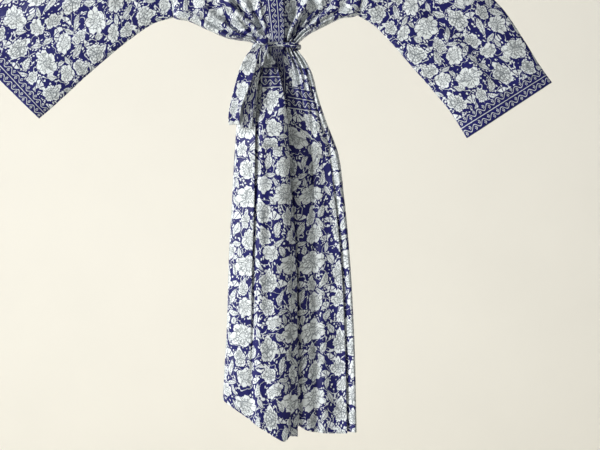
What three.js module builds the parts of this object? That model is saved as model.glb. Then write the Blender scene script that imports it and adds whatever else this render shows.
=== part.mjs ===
// A kimono robe of block-printed cotton, tied at the waist with its own belt, on a plain wooden hanger.
// Millimetres, +Z up, X to the viewer's right, the viewer at -Y. The origin is where the hook rests.
// Left and right are the viewer's. Cloth lies back (+Y), front (-Y), with a gap at every seam.
import * as THREE from "three";

const WALL = 1.2; // single cloth
const BAND_WALL = 1.2;
const POCKET_WALL = 1;
const BELT_WALL = 2; // two layers, turned out
const SEAM = 0.3; // gap between pieces that are sewn together
const NECK_HALF = 80; // from the middle to where the shoulder seam meets the neck
const NECK_Z = -86; // height of the shoulder seam at the neck
const NECK_DIP = 12; // the back neck is this much lower in the middle
const NECK_BACK = 9; // the back neck passes this far behind the hook
const NECK_BLEND = 8; // and comes forward to the shoulder seam over this width
const NECK_SEAM = NECK_HALF - 1; // the shoulder seams are outside this
const SLEEVE_HALF = 11; // half the depth of the sleeve where it joins the body
const BAND_WIDTH = 40;
const HEM_STATION = 5.8; // the hem's own dips start here and are full at the last section
const HEM_OVER = 0.2;
const SWELL_POWER = 1.5; // the fronts stand out late in their width
const SAG_POWER = 1.4; // the back's lines are round in the middle
const LENS_POWER = 0.7; // makes both folded edges of a sleeve round instead of sharp

// The line from shoulder tip to underarm, where each sleeve is set in.
const ARMHOLE = {
  left: { tip: [-262, -165], underarm: [-238, -401] },
  right: { tip: [270, -170], underarm: [184, -396] },
};
// How far down the armhole each section of sleeve and body is taken, as a share of its length.
const ARM_SHARES = [0, 0.017, 0.068, 0.25, 0.55, 0.82, 0.955, 1];

// Stations of the fold tables: 0 shoulder, 1 bust, 2 waist, 3 hip, 4 thigh, 5 knee, 6 hem.
// Sections of the front panels, from the shoulder seam down. Side: the armhole, then the side seam. Edge:
// where the neck band is sewn on. sideY, midY and edgeY: how far the cloth stands out there.
const LEFT_SECTIONS = [
  { station: 0.0, edge: [-80, -86], midY: 0, edgeY: 0, band: 40 },
  { station: 0.05, edge: [-79, -90], midY: 6.5, edgeY: 6.5, band: 40 },
  { station: 0.1, edge: [-76, -103], midY: 9.5, edgeY: 10, band: 40 },
  { station: 0.3, edge: [-66, -155], midY: 12, edgeY: 13, band: 40 },
  { station: 0.6, edge: [-47, -240], midY: 15, edgeY: 17, band: 40 },
  { station: 0.85, edge: [-32, -312], midY: 18, edgeY: 21, band: 40 },
  { station: 0.97, edge: [-26, -340], midY: 19, edgeY: 22, band: 39 },
  { station: 1.0, edge: [-24, -354], midY: 19, edgeY: 22, band: 39 },
  { station: 1.3, side: [-200, -412], edge: [-20, -388], sideY: 2, midY: 20, edgeY: 23, band: 37 },
  { station: 1.55, side: [-152, -434], edge: [-16, -420], sideY: 3, midY: 21, edgeY: 24, band: 34 },
  { station: 1.8, side: [-104, -451], edge: [-13, -444], sideY: 3, midY: 21, edgeY: 25, band: 31 },
  { station: 1.95, side: [-64, -456], edge: [-11.5, -455], sideY: 2, midY: 20, edgeY: 25, band: 28 },
  { station: 2.0, side: [-50, -464], edge: [-11, -463], sideY: 2, midY: 20, edgeY: 25, band: 27 },
  { station: 2.04, side: [-50, -478], edge: [-10, -478], sideY: 2, midY: 20, edgeY: 25, band: 24 },
  { station: 2.2, side: [-56, -499], edge: [-3, -499], sideY: 3, midY: 26, edgeY: 30, band: 9 },
  { station: 2.45, side: [-63, -521], edge: [5, -521], sideY: 4, midY: 31, edgeY: 35, band: 6 },
  { station: 2.75, side: [-75, -568], edge: [15, -568], sideY: 5, midY: 35, edgeY: 40, band: 10 },
  { station: 3.0, side: [-88, -630], edge: [22, -630], sideY: 5, midY: 37, edgeY: 42, band: 30 },
  { station: 3.6, side: [-95, -712], edge: [28, -712], sideY: 5, midY: 38, edgeY: 44, band: 38 },
  { station: 4.4, side: [-101, -822], edge: [32, -822], sideY: 5, midY: 38, edgeY: 44, band: 40 },
  { station: 5.0, side: [-108, -950], edge: [34, -950], sideY: 5, midY: 38, edgeY: 44, band: 40 },
  { station: 5.5, side: [-113, -1110], edge: [34, -1120], sideY: 5, midY: 37, edgeY: 43, band: 40 },
  { station: 5.8, side: [-119, -1220], edge: [33, -1260], sideY: 5, midY: 36, edgeY: 42, band: 40 },
  { station: 6.0, side: [-122, -1280], edge: [32, -1364], sideY: 5, midY: 36, edgeY: 42, band: 40 },
];
const RIGHT_SECTIONS = [
  { station: 0.0, edge: [80, -86], midY: 0, edgeY: 0, band: 40 },
  { station: 0.05, edge: [79, -90], midY: 6.5, edgeY: 6.5, band: 40 },
  { station: 0.1, edge: [75, -103], midY: 9.5, edgeY: 9.5, band: 40 },
  { station: 0.3, edge: [62, -155], midY: 11, edgeY: 10, band: 40 },
  { station: 0.6, edge: [40, -240], midY: 13, edgeY: 11, band: 40 },
  { station: 0.85, edge: [23, -308], midY: 15, edgeY: 11, band: 38 },
  { station: 0.97, edge: [16, -336], midY: 16, edgeY: 11, band: 36 },
  { station: 1.0, edge: [14, -350], midY: 16, edgeY: 11, band: 34 },
  { station: 1.3, side: [146, -405], edge: [13, -386], sideY: 2, midY: 17, edgeY: 12, band: 30 },
  { station: 1.55, side: [106, -424], edge: [12, -418], sideY: 3, midY: 18, edgeY: 13, band: 28 },
  { station: 1.8, side: [72, -441], edge: [12, -442], sideY: 3, midY: 19, edgeY: 14, band: 26 },
  { station: 1.95, side: [57, -453], edge: [12, -455], sideY: 2, midY: 20, edgeY: 15, band: 24 },
  { station: 2.0, side: [47, -463], edge: [12, -463], sideY: 2, midY: 20, edgeY: 15, band: 22 },
  { station: 2.04, side: [48, -478], edge: [12.5, -478], sideY: 2, midY: 20, edgeY: 15, band: 22 },
  { station: 2.2, side: [64, -500], edge: [15, -499], sideY: 3, midY: 24, edgeY: 15, band: 24 },
  { station: 2.45, side: [78, -528], edge: [19, -522], sideY: 4, midY: 27, edgeY: 15, band: 27 },
  { station: 2.75, side: [91, -577], edge: [20, -562], sideY: 5, midY: 29, edgeY: 17, band: 32 },
  { station: 3.0, side: [110, -638], edge: [14, -626], sideY: 5, midY: 30, edgeY: 19, band: 36 },
  { station: 3.6, side: [138, -712], edge: [8, -714], sideY: 5, midY: 31, edgeY: 21, band: 40 },
  { station: 4.4, side: [153, -822], edge: [4, -822], sideY: 5, midY: 31, edgeY: 22, band: 40 },
  { station: 5.0, side: [165, -950], edge: [4, -950], sideY: 5, midY: 31, edgeY: 22, band: 40 },
  { station: 5.5, side: [175, -1110], edge: [5, -1110], sideY: 5, midY: 31, edgeY: 22, band: 40 },
  { station: 5.8, side: [180, -1250], edge: [6, -1250], sideY: 5, midY: 31, edgeY: 22, band: 40 },
  { station: 6.0, side: [182, -1353], edge: [8, -1330], sideY: 5, midY: 31, edgeY: 22, band: 40 },
];
// Sections of the back: middle height and how far it stands back.
const BACK_SECTIONS = [
  { station: 0.0, drop: 0, midY: 0 },
  { station: 0.05, drop: 4, midY: 6.5 },
  { station: 0.1, drop: 17, midY: 9.5 },
  { station: 0.3, midZ: -160, midY: 11 },
  { station: 0.6, midZ: -240, midY: 13 },
  { station: 0.85, midZ: -310, midY: 15 },
  { station: 0.97, midZ: -340, midY: 16 },
  { station: 1.0, midZ: -352, midY: 16 },
  { station: 1.3, midZ: -387, midY: 17 },
  { station: 1.55, midZ: -419, midY: 18 },
  { station: 1.8, midZ: -443, midY: 18 },
  { station: 1.95, midZ: -455, midY: 18 },
  { station: 2.0, midZ: -464, midY: 18 },
  { station: 2.04, midZ: -478, midY: 18 },
  { station: 2.2, midZ: -500, midY: 19 },
  { station: 2.45, midZ: -524, midY: 19 },
  { station: 2.75, midZ: -570, midY: 19 },
  { station: 3.0, midZ: -632, midY: 18 },
  { station: 3.6, midZ: -713, midY: 18 },
  { station: 4.4, midZ: -822, midY: 18 },
  { station: 5.0, midZ: -950, midY: 18 },
  { station: 5.5, midZ: -1110, midY: 18 },
  { station: 5.8, midZ: -1225, midY: 18 },
  { station: 6.0, midZ: -1300, midY: 18 },
];
// Turns of the cloth across each panel, side seam first: where each lies (share of the width) and how far
// it stands out from the panel's mean surface, at each station. dip: extra length at the hem.
const LEFT_TURNS = [
  { share: [0, 0, 0, 0, 0, 0, 0], depth: [0, 0, 0, 0, 0, 0, 0], dip: 0 },
  { share: [0.06, 0.04, 0, -0.01, -0.01, -0.01, -0.01], depth: [0, -2, -9, -18, -18, -18, -18], dip: 0 },
  { share: [0.16, 0.12, 0.09, 0.05, 0.05, 0.04, 0.04], depth: [0, 1, 4, -2, -2, -2, -3], dip: 1 },
  { share: [0.26, 0.22, 0.19, 0.18, 0.18, 0.17, 0.17], depth: [0, -3, -6, 3, 3, 3, 2], dip: 3 },
  { share: [0.36, 0.33, 0.3, 0.37, 0.385, 0.37, 0.34], depth: [0, 3, 6, 5, 5, 4, 2], dip: 6 },
  { share: [0.46, 0.44, 0.4, 0.28, 0.29, 0.36, 0.45], depth: [0, -4, -7, -12, -10, -7, -3], dip: 9 },
  { share: [0.55, 0.57, 0.51, 0.45, 0.47, 0.5, 0.56], depth: [0, 5, 7, -3, -2, 0, 1], dip: 11 },
  { share: [0.64, 0.67, 0.61, 0.62, 0.62, 0.64, 0.68], depth: [0, -4, -7, -1, -1, -1, 0], dip: 13 },
  { share: [0.73, 0.77, 0.72, 0.8, 0.8, 0.79, 0.8], depth: [0, 4, 6, 0, 0, 1, 1], dip: 14 },
  { share: [0.82, 0.86, 0.82, 0.93, 0.92, 0.91, 0.91], depth: [0, -3, -4, 1, 1, 1, 0], dip: 12 },
  { share: [0.89, 0.91, 0.89, 1, 1, 1, 0.99], depth: [0, 1, 1, -1, -1, -1, -2], dip: -8 },
  { share: [0.93, 0.94, 0.93, 0.98, 0.96, 0.95, 0.95], depth: [0, 0, 0, -5, -6, -7, -8], dip: -10 },
  { share: [0.97, 0.97, 0.97, 0.94, 0.99, 1.07, 1.1], depth: [0, 0, 0, -8, -8, -9, -9], dip: -4 },
  { share: [1, 1, 1, 0.88, 0.92, 1.01, 1.03], depth: [0, 0, 0, -9.5, -11, -12, -12], dip: -4 },
];
const RIGHT_TURNS = [
  { share: [0, 0, 0, 0, 0, 0, 0], depth: [0, 0, 0, 0, 0, 0, 0], dip: 0 },
  { share: [0.06, 0.04, 0, -0.01, -0.01, -0.01, 0], depth: [0, -2, -9, -14, -14, -14, -14], dip: 0 },
  { share: [0.15, 0.12, 0.09, 0.05, 0.04, 0.03, 0.03], depth: [0, 1, 4, -2, -2, -4, -3], dip: 0 },
  { share: [0.24, 0.2, 0.19, 0.13, 0.12, 0.17, 0.16], depth: [0, -2, -6, -3, -4, -9, -8], dip: 2 },
  { share: [0.33, 0.3, 0.3, 0.21, 0.16, 0.12, 0.125], depth: [0, 3, 6, 2, 1, 2, 2], dip: 4 },
  { share: [0.42, 0.4, 0.4, 0.31, 0.3, 0.25, 0.25], depth: [0, -3, -7, 3, 3, 4, 3], dip: 8 },
  { share: [0.51, 0.5, 0.5, 0.4, 0.46, 0.41, 0.41], depth: [0, 4, 7, 3, 5, 1, 2], dip: 11 },
  { share: [0.6, 0.59, 0.6, 0.47, 0.4, 0.53, 0.54], depth: [0, -5, -7, -2, -5, 2, 2], dip: 12 },
  { share: [0.69, 0.69, 0.7, 0.57, 0.56, 0.64, 0.65], depth: [0, 5, 5, 1, 1, 1, 1], dip: 10 },
  { share: [0.77, 0.78, 0.8, 0.69, 0.71, 0.74, 0.75], depth: [0, -4, -4, 0, -1, -2, -2], dip: 4 },
  { share: [0.85, 0.86, 0.89, 0.81, 0.82, 0.84, 0.84], depth: [0, 0, 0, -2, -3, -3, -3], dip: 2 },
  { share: [0.93, 0.93, 0.95, 0.91, 0.91, 0.92, 0.92], depth: [0, 0, 0, 0, 0, 0, 0], dip: 0 },
  { share: [1, 1, 1, 1, 1, 1, 1], depth: [0, 0, 0, 0, 0, 0, 0], dip: 0 },
];
const BACK_TURNS = [
  { share: [0, 0, 0, 0, 0, 0, 0], depth: [0, 0, 0, 0, 0, 0, 0], dip: 0 },
  { share: [0.04, 0.03, 0.01, 0, 0, 0, 0], depth: [0, -2, -6, -9, -9, -9, -9], dip: 0 },
  { share: [0.1, 0.09, 0.08, 0.05, 0.05, 0.05, 0.05], depth: [0, 1, 4, 5, 5.5, 6, 6], dip: 2 },
  { share: [0.17, 0.16, 0.15, 0.13, 0.13, 0.13, 0.14], depth: [0, -2, -6, -6, -6.5, -7, -8], dip: 5 },
  { share: [0.24, 0.23, 0.22, 0.2, 0.205, 0.21, 0.21], depth: [0, 2, 6, 7, 7.5, 8, 7], dip: 8 },
  { share: [0.3, 0.3, 0.29, 0.29, 0.28, 0.27, 0.27], depth: [0, -3, -7, -8, -8, -8, -9], dip: 10 },
  { share: [0.36, 0.37, 0.36, 0.35, 0.355, 0.36, 0.36], depth: [0, 2, 7, 7, 7, 7, 8], dip: 12 },
  { share: [0.43, 0.43, 0.43, 0.42, 0.43, 0.44, 0.43], depth: [0, -2, -7, -6, -6, -6, -6], dip: 13 },
  { share: [0.5, 0.5, 0.5, 0.5, 0.5, 0.5, 0.51], depth: [0, 3, 7, 8, 8.5, 9, 9], dip: 14 },
  { share: [0.57, 0.57, 0.57, 0.59, 0.585, 0.58, 0.58], depth: [0, -2, -7, -8, -8.5, -9, -8], dip: 13 },
  { share: [0.64, 0.63, 0.64, 0.65, 0.65, 0.65, 0.66], depth: [0, 2, 7, 7, 7.5, 8, 8], dip: 12 },
  { share: [0.7, 0.7, 0.71, 0.72, 0.725, 0.73, 0.72], depth: [0, -3, -7, -7, -7, -7, -8], dip: 10 },
  { share: [0.76, 0.77, 0.78, 0.79, 0.79, 0.79, 0.8], depth: [0, 2, 6, 7, 7, 7, 6], dip: 8 },
  { share: [0.83, 0.84, 0.85, 0.87, 0.865, 0.86, 0.86], depth: [0, -2, -6, -7, -7.5, -8, -8], dip: 5 },
  { share: [0.9, 0.91, 0.92, 0.94, 0.94, 0.94, 0.94], depth: [0, 1, 4, 5, 5.5, 6, 6], dip: 2 },
  { share: [0.96, 0.97, 0.99, 1, 1, 1, 1], depth: [0, -2, -6, -9, -9, -9, -9], dip: 0 },
  { share: [1, 1, 1, 1, 1, 1, 1], depth: [0, 0, 0, 0, 0, 0, 0], dip: 0 },
];
// Sections of the sleeves, from armhole to cuff: upper fold, lower edge, half depth, how far back they hang.
const SLEEVES = {
  left: [
    { top: [-262, -165], bottom: [-238, -401], half: 11, back: 0 },
    { top: [-340, -197], bottom: [-289, -418], half: 13, back: 2 },
    { top: [-430, -239], bottom: [-349, -459], half: 14, back: 5 },
    { top: [-520, -285], bottom: [-409, -508], half: 14, back: 8 },
    { top: [-602, -334], bottom: [-462, -554], half: 13, back: 10 },
    { top: [-666, -394], bottom: [-508, -597], half: 12, back: 12 },
    { top: [-715, -472], bottom: [-550, -633], half: 11, back: 13 },
  ],
  right: [
    { top: [270, -170], bottom: [184, -396], half: 11, back: 0 },
    { top: [350, -240], bottom: [226, -422], half: 13, back: 2 },
    { top: [436, -306], bottom: [268, -464], half: 14, back: 5 },
    { top: [510, -368], bottom: [316, -519], half: 14, back: 8 },
    { top: [562, -440], bottom: [362, -570], half: 13, back: 10 },
    { top: [603, -505], bottom: [405, -624], half: 12, back: 12 },
    { top: [635, -550], bottom: [439, -679], half: 11, back: 13 },
  ],
};

const mix = (a, b, share) => a + (b - a) * share;

// Value of a station table at a station.
function atStation(values, station) {
  const first = Math.min(Math.floor(station), values.length - 2);
  return mix(values[first], values[first + 1], station - first);
}

// A smooth curve through a list of rows of numbers, at t counted in rows.
function through(rows, t) {
  const last = rows.length - 1;
  const i = Math.min(Math.floor(t), last - 1);
  const f = t - i;
  const b = rows[i];
  const c = rows[i + 1];
  return b.map((_, k) => {
    const before = i > 0 ? rows[i - 1][k] : 2 * b[k] - c[k];
    const after = i + 2 <= last ? rows[i + 2][k] : 2 * c[k] - b[k];
    const slopeB = (c[k] - before) / 2;
    const slopeC = (after - b[k]) / 2;
    const f2 = f * f;
    const f3 = f2 * f;
    return (
      (2 * f3 - 3 * f2 + 1) * b[k] + (f3 - 2 * f2 + f) * slopeB +
      (3 * f2 - 2 * f3) * c[k] + (f3 - f2) * slopeC
    );
  });
}

// Half depth of a flat sleeve, as a share of its greatest, at a share of the way from its fold to its lower
// edge.
const lens = (share) => Math.sqrt(Math.max(0, 1 - (1 - 2 * share) ** 2)) ** LENS_POWER;

const hemShare = (station) => Math.max(0, (station - HEM_STATION) / HEM_OVER);

const armPoint = (arm, share) => [
  mix(arm.tip[0], arm.underarm[0], share),
  mix(arm.tip[1], arm.underarm[1], share),
];

// Side of a section: on the armhole for the first sections, then on the side seam.
function sidePoint(sections, arm, row) {
  return row < ARM_SHARES.length ? armPoint(arm, ARM_SHARES[row]) : sections[row].side;
}

function sideDepth(sections, row) {
  const y = row < ARM_SHARES.length ? SLEEVE_HALF * lens(ARM_SHARES[row]) : -sections[row].sideY;
  return row < ARM_SHARES.length ? Math.max(y, SEAM / 2) : y;
}

// A front panel: the point of each turn on each section.
function frontTurns(sections, turns, arm) {
  return sections.map((section, row) => {
    const [sideX, sideZ] = sidePoint(sections, arm, row);
    const onArm = row < ARM_SHARES.length;
    const seamY = onArm ? -sideDepth(sections, row) : -section.sideY - SEAM / 2;
    return turns.map((turn, k) => {
      const share = atStation(turn.share, section.station);
      const depth = atStation(turn.depth, section.station);
      const out = mix(section.midY, section.edgeY, Math.max(share, 0) ** SWELL_POWER);
      const dip = turn.dip * hemShare(section.station);
      const y = k === 0 ? seamY : -(out + depth);
      return [
        mix(sideX, section.edge[0], share),
        Math.min(y, -SEAM / 2),
        mix(sideZ, section.edge[1], Math.min(Math.max(share, 0), 1)) - dip,
      ];
    });
  });
}

// Height of the shoulder seams and the back neck above a place across the robe.
function shoulderZ(x) {
  const tip = x < 0 ? ARMHOLE.left.tip : ARMHOLE.right.tip;
  const across = Math.abs(x);
  if (across < NECK_HALF) return NECK_Z - NECK_DIP * (1 - (across / NECK_HALF) ** 2);
  return mix(NECK_Z, tip[1], (across - NECK_HALF) / (Math.abs(tip[0]) - NECK_HALF));
}

// How far the back neck stands behind the shoulder seams.
function neckBack(x) {
  const into = Math.min(Math.max((NECK_HALF - Math.abs(x)) / NECK_BLEND, 0), 1);
  return NECK_BACK * into;
}

function backTurns() {
  return BACK_SECTIONS.map((section, row) => {
    const left = sidePoint(LEFT_SECTIONS, ARMHOLE.left, row);
    const right = sidePoint(RIGHT_SECTIONS, ARMHOLE.right, row);
    const onArm = row < ARM_SHARES.length;
    const seamY = onArm ? sideDepth(LEFT_SECTIONS, row) : -LEFT_SECTIONS[row].sideY + SEAM / 2;
    return BACK_TURNS.map((turn, k) => {
      const share = atStation(turn.share, section.station);
      const x = mix(left[0], right[0], share);
      const level = mix(left[1], right[1], share);
      const middle = mix(left[1], right[1], 0.5);
      const rise = 1 - Math.abs(2 * share - 1) ** SAG_POWER;
      const onSeam = "drop" in section;
      const z = onSeam ? shoulderZ(x) - section.drop : level + (section.midZ - middle) * rise;
      const dip = turn.dip * hemShare(section.station);
      const atSide = k === 0 || k === BACK_TURNS.length - 1;
      const out = Math.max(section.midY, onSeam ? neckBack(x) : 0);
      const depth = atStation(turn.depth, section.station);
      return [x, atSide ? seamY : Math.max(out + depth, SEAM / 2), z - dip];
    });
  });
}

const FRONT_STEPS = 3; // facets between one turn and the next
const BACK_STEPS = 2;
const SLEEVE_STEPS = 2; // rings between one section and the next

// The points of a panel: each section's curve, in short steps. Above the bust it keeps to its own side of
// the shoulder seams: -1 to the front, 1 to the back.
const panelGrid = (turnRows, facing, steps) =>
  turnRows.map((line, row) =>
    Array.from({ length: (line.length - 1) * steps + 1 }, (_, i) => {
      const point = new THREE.Vector3(...through(line, i / steps));
      if (row < ARM_SHARES.length) point.y = facing * Math.max(facing * point.y, SEAM / 2);
      return point;
    }),
  );

// Direction square to the cloth at each point. hold(row, column) may give a direction that the edge there
// must not lean along, so that two edges that are sewn together stay parallel.
function gridNormals(grid, hold = () => null) {
  const rows = grid.length;
  const columns = grid[0].length;
  return grid.map((line, i) =>
    line.map((_, j) => {
      const down = new THREE.Vector3().subVectors(
        grid[Math.min(i + 1, rows - 1)][j], grid[Math.max(i - 1, 0)][j],
      );
      const across = new THREE.Vector3().subVectors(
        grid[i][Math.min(j + 1, columns - 1)], grid[i][Math.max(j - 1, 0)],
      );
      const normal = across.cross(down).normalize();
      for (const avoid of hold(i, j) ?? []) normal.addScaledVector(avoid, -normal.dot(avoid));
      return normal.normalize();
    }),
  );
}

const volumeOf = (points, faces) =>
  faces.reduce((sum, [a, b, c]) => {
    const [p, q, r] = [points[a], points[b], points[c]];
    return sum + p.dot(new THREE.Vector3().crossVectors(q, r)) / 6;
  }, 0);

// One mesh from points and triangles, its faces turned outwards.
function meshOf(name, points, faces, material) {
  const flip = volumeOf(points, faces) < 0;
  const geometry = new THREE.BufferGeometry().setFromPoints(points);
  geometry.setIndex(faces.flatMap(([a, b, c]) => (flip ? [a, c, b] : [a, b, c])));
  geometry.computeVertexNormals();
  const mesh = new THREE.Mesh(geometry, material);
  mesh.name = name;
  return mesh;
}

// A cloth wall: the grid's points moved both ways along their normals, closed round the rim.
function sheet(name, grid, normals, wall, material, moved = 0) {
  const rows = grid.length;
  const columns = grid[0].length;
  const layer = (out) =>
    grid.flatMap((line, i) => line.map((p, j) => p.clone().addScaledVector(normals[i][j], out)));
  const points = [...layer(moved + wall / 2), ...layer(moved - wall / 2)];
  const under = rows * columns;
  const at = (i, j) => i * columns + j;
  const faces = [];
  const quad = (a, b, c, d) => faces.push([a, b, c], [a, c, d]);
  for (let i = 0; i < rows - 1; i++)
    for (let j = 0; j < columns - 1; j++) {
      const [a, b, c, d] = [at(i, j), at(i + 1, j), at(i + 1, j + 1), at(i, j + 1)];
      quad(a, b, c, d);
      quad(under + a, under + d, under + c, under + b);
    }
  const rim = (a, b) => quad(b, a, under + a, under + b);
  for (let i = 0; i < rows - 1; i++) {
    rim(at(i, 0), at(i + 1, 0));
    rim(at(i + 1, columns - 1), at(i, columns - 1));
  }
  for (let j = 0; j < columns - 1; j++) {
    rim(at(0, j + 1), at(0, j));
    rim(at(rows - 1, j), at(rows - 1, j + 1));
  }
  return meshOf(name, points, faces, material);
}

// An open tube with a wall, from rings of equal length that each lie in a plane.
function tube(name, rings, wall, material) {
  const count = rings[0].length;
  const layer = (out) =>
    rings.flatMap((ring) => {
      const axis = ringAxis(ring);
      return ring.map((p, k) => {
        const along = new THREE.Vector3().subVectors(ring[(k + 1) % count], ring.at(k - 1));
        return p.clone().addScaledVector(along.cross(axis).normalize(), out);
      });
    });
  const points = [...layer(wall / 2), ...layer(-wall / 2)];
  const under = rings.length * count;
  const faces = [];
  const quad = (a, b, c, d) => faces.push([a, b, c], [a, c, d]);
  for (let i = 0; i < rings.length - 1; i++)
    for (let k = 0; k < count; k++) {
      const next = (k + 1) % count;
      const [a, b] = [i * count + k, i * count + next];
      const [c, d] = [b + count, a + count];
      quad(a, b, c, d);
      quad(under + b, under + a, under + d, under + c);
    }
  const end = (rings.length - 1) * count;
  for (let k = 0; k < count; k++) {
    const next = (k + 1) % count;
    quad(next, k, under + k, under + next);
    quad(end + k, end + next, under + end + next, under + end + k);
  }
  return meshOf(name, points, faces, material);
}

function ringAxis(ring) {
  const axis = new THREE.Vector3();
  ring.forEach((p, k) => axis.add(new THREE.Vector3().crossVectors(p, ring[(k + 1) % ring.length])));
  return axis.normalize();
}

const fabric = (color) => new THREE.MeshStandardMaterial({ color, roughness: 0.85, metalness: 0 });
const PRINTED = fabric(0x6f74a0);
const BORDER = fabric(0x26307e);
const BIRCH = new THREE.MeshStandardMaterial({ color: 0xc79a63, roughness: 0.5, metalness: 0 });
const STEEL = new THREE.MeshStandardMaterial({ color: 0xb8bbbf, roughness: 0.3, metalness: 1 });

const ALONG_Y = new THREE.Vector3(0, 1, 0);

// Directions that a body panel's edge keeps off: along Y at the shoulder and side seams, and out of the
// body at the armhole.
function bodyHold(grid, arms) {
  return (row, column) => {
    const hold = [];
    const side = column === 0 ? arms[0] : column === grid[0].length - 1 ? arms[1] : null;
    if (row === 0 && Math.abs(grid[0][column].x) > NECK_SEAM) hold.push(ALONG_Y);
    if (!side) return hold;
    if (row >= ARM_SHARES.length - 1) hold.push(ALONG_Y);
    if (row > 0 && row < ARM_SHARES.length) {
      const down = new THREE.Vector3(
        side.underarm[0] - side.tip[0], 0, side.underarm[1] - side.tip[1],
      );
      hold.push(down.cross(ALONG_Y).normalize());
    }
    return hold;
  };
}

function bodyPanel(turnRows, arms, facing, steps) {
  const grid = panelGrid(turnRows, facing, steps);
  return { grid, normals: gridNormals(grid, bodyHold(grid, arms)) };
}

function sleeve(side) {
  const sections = SLEEVES[side];
  const rows = sections.map(({ top, bottom, half, back }) => [...top, ...bottom, half, back]);
  const sign = side === "left" ? -1 : 1;
  const shares = [...ARM_SHARES, ...ARM_SHARES.slice(1, -1).reverse()];
  const rings = Array.from({ length: (rows.length - 1) * SLEEVE_STEPS + 1 }, (_, i) => {
    const [topX, topZ, bottomX, bottomZ, half, back] = through(rows, i / SLEEVE_STEPS);
    return shares.map((share, k) => {
      const front = k < ARM_SHARES.length ? -1 : 1;
      const gap = i === 0 ? SEAM * sign : 0;
      return new THREE.Vector3(
        mix(topX, bottomX, share) + gap,
        back + front * half * lens(share),
        mix(topZ, bottomZ, share),
      );
    });
  });
  return tube(`sleeve_${side}`, rings, WALL, PRINTED);
}

// The neck band: up one front edge, round the back neck and down the other, in columns from the seam out.
const BAND_SHARES = [0, 0.33, 0.67, 1];
const CRUSHED_BAND = 20; // narrower than this, the band is crushed under the belt and turns inwards
const CRUSHED_GAP = 1.5; // and stands this far off its seam
const BAND_START = { rows: 3, across: 0.8, up: 0.6 }; // at the shoulder it leans up to the middle
const BAND_FLAT = { station: 2.9, share: 0.2 }; // below the hip it lies nearly flat
const NECK_LEAN = 0.5; // at the ends of the back neck it leans in

function bandRow(seam, direction, width, gap = SEAM) {
  return BAND_SHARES.map((share) => seam.clone().addScaledVector(direction, gap + share * width));
}

function bandFront(panel, sections, sideways) {
  return panel.grid.map((line, row) => {
    const seam = line.at(-1);
    const direction = new THREE.Vector3().subVectors(seam, line.at(-2)).normalize();
    if (row < BAND_START.rows) direction.set(sideways * BAND_START.across, 0, BAND_START.up);
    if (sections[row].station > BAND_FLAT.station)
      direction.setY(direction.y * BAND_FLAT.share).normalize();
    const crushed = sections[row].band < CRUSHED_BAND;
    if (crushed) direction.add(ALONG_Y).normalize();
    return bandRow(seam, direction, sections[row].band, crushed ? CRUSHED_GAP : SEAM);
  });
}

// Round the back neck the band is sewn to the top of the back and stands up from it.
function bandNeck(back) {
  const seams = back.grid[0].filter((p) => Math.abs(p.x) < NECK_SEAM);
  return seams.map((seam) => {
    const inward = -Math.sign(seam.x) * (Math.abs(seam.x) / NECK_HALF) ** 3;
    const direction = new THREE.Vector3(inward * NECK_LEAN, 0, 1).normalize();
    return bandRow(seam, direction, BAND_WIDTH, 2 * SEAM);
  });
}

function neckBand(left, back, right) {
  const grid = [
    ...bandFront(left, LEFT_SECTIONS, 1).reverse(),
    ...bandNeck(back),
    ...bandFront(right, RIGHT_SECTIONS, -1),
  ];
  return sheet("neck_band", grid, gridNormals(grid), BAND_WALL, BORDER);
}

const POCKET_LIFT = 1.6; // from the middle of the front's cloth to the middle of the pocket's

// A patch pocket: the front's own points between two sections and two turns, moved out.
function pocket(name, panel, { top, bottom, from, to }) {
  const stops = [...Array.from({ length: Math.ceil(bottom) - top }, (_, i) => top + i), bottom];
  const cut = (table, v) => {
    const i = Math.floor(v);
    const line = table[i].slice(from * FRONT_STEPS, to * FRONT_STEPS + 1);
    const next = table[Math.min(i + 1, table.length - 1)];
    return line.map((p, j) => p.clone().lerp(next[from * FRONT_STEPS + j], v - i));
  };
  const grid = stops.map((v) => cut(panel.grid, v));
  const normals = stops.map((v) => cut(panel.normals, v).map((n) => n.normalize()));
  const outwards = Math.sign(-normals[0].reduce((sum, n) => sum + n.y, 0));
  return sheet(name, grid, normals, POCKET_WALL, PRINTED, outwards * POCKET_LIFT);
}

// A ribbon of cloth: rows of centre, width and the angle its width makes with the X axis in plan and in
// elevation.
function ribbon(name, rows, steps, wall, material) {
  const table = rows.map(({ at, width, turn, tilt }) => [...at, width, turn, tilt]);
  const count = (table.length - 1) * steps + 1;
  const grid = Array.from({ length: count }, (_, i) => {
    const [x, y, z, width, turn, tilt] = through(table, i / steps);
    const plan = THREE.MathUtils.degToRad(turn);
    const lift = THREE.MathUtils.degToRad(tilt);
    const across = new THREE.Vector3(
      Math.cos(plan) * Math.cos(lift), Math.sin(plan) * Math.cos(lift), Math.sin(lift),
    );
    return [-0.5, -0.25, 0, 0.25, 0.5].map((share) =>
      new THREE.Vector3(x, y, z).addScaledVector(across, share * width),
    );
  });
  return sheet(name, grid, gridNormals(grid), wall, material);
}

// A solid through rings of equal length: closed on itself, or with flat ends.
function loft(name, rings, material, closed) {
  const count = rings[0].length;
  const points = rings.flat();
  const faces = [];
  for (let i = 0; i < rings.length - (closed ? 0 : 1); i++)
    for (let k = 0; k < count; k++) {
      const next = (k + 1) % count;
      const after = (i + 1) % rings.length;
      const [a, b, c, d] = [i * count + k, i * count + next, after * count + next, after * count + k];
      faces.push([a, b, c], [a, c, d]);
    }
  const end = (rings.length - 1) * count;
  for (let k = 1; k < count - 1 && !closed; k++) {
    faces.push([0, k + 1, k], [end, end + k, end + k + 1]);
  }
  return meshOf(name, points, faces, material);
}

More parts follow.
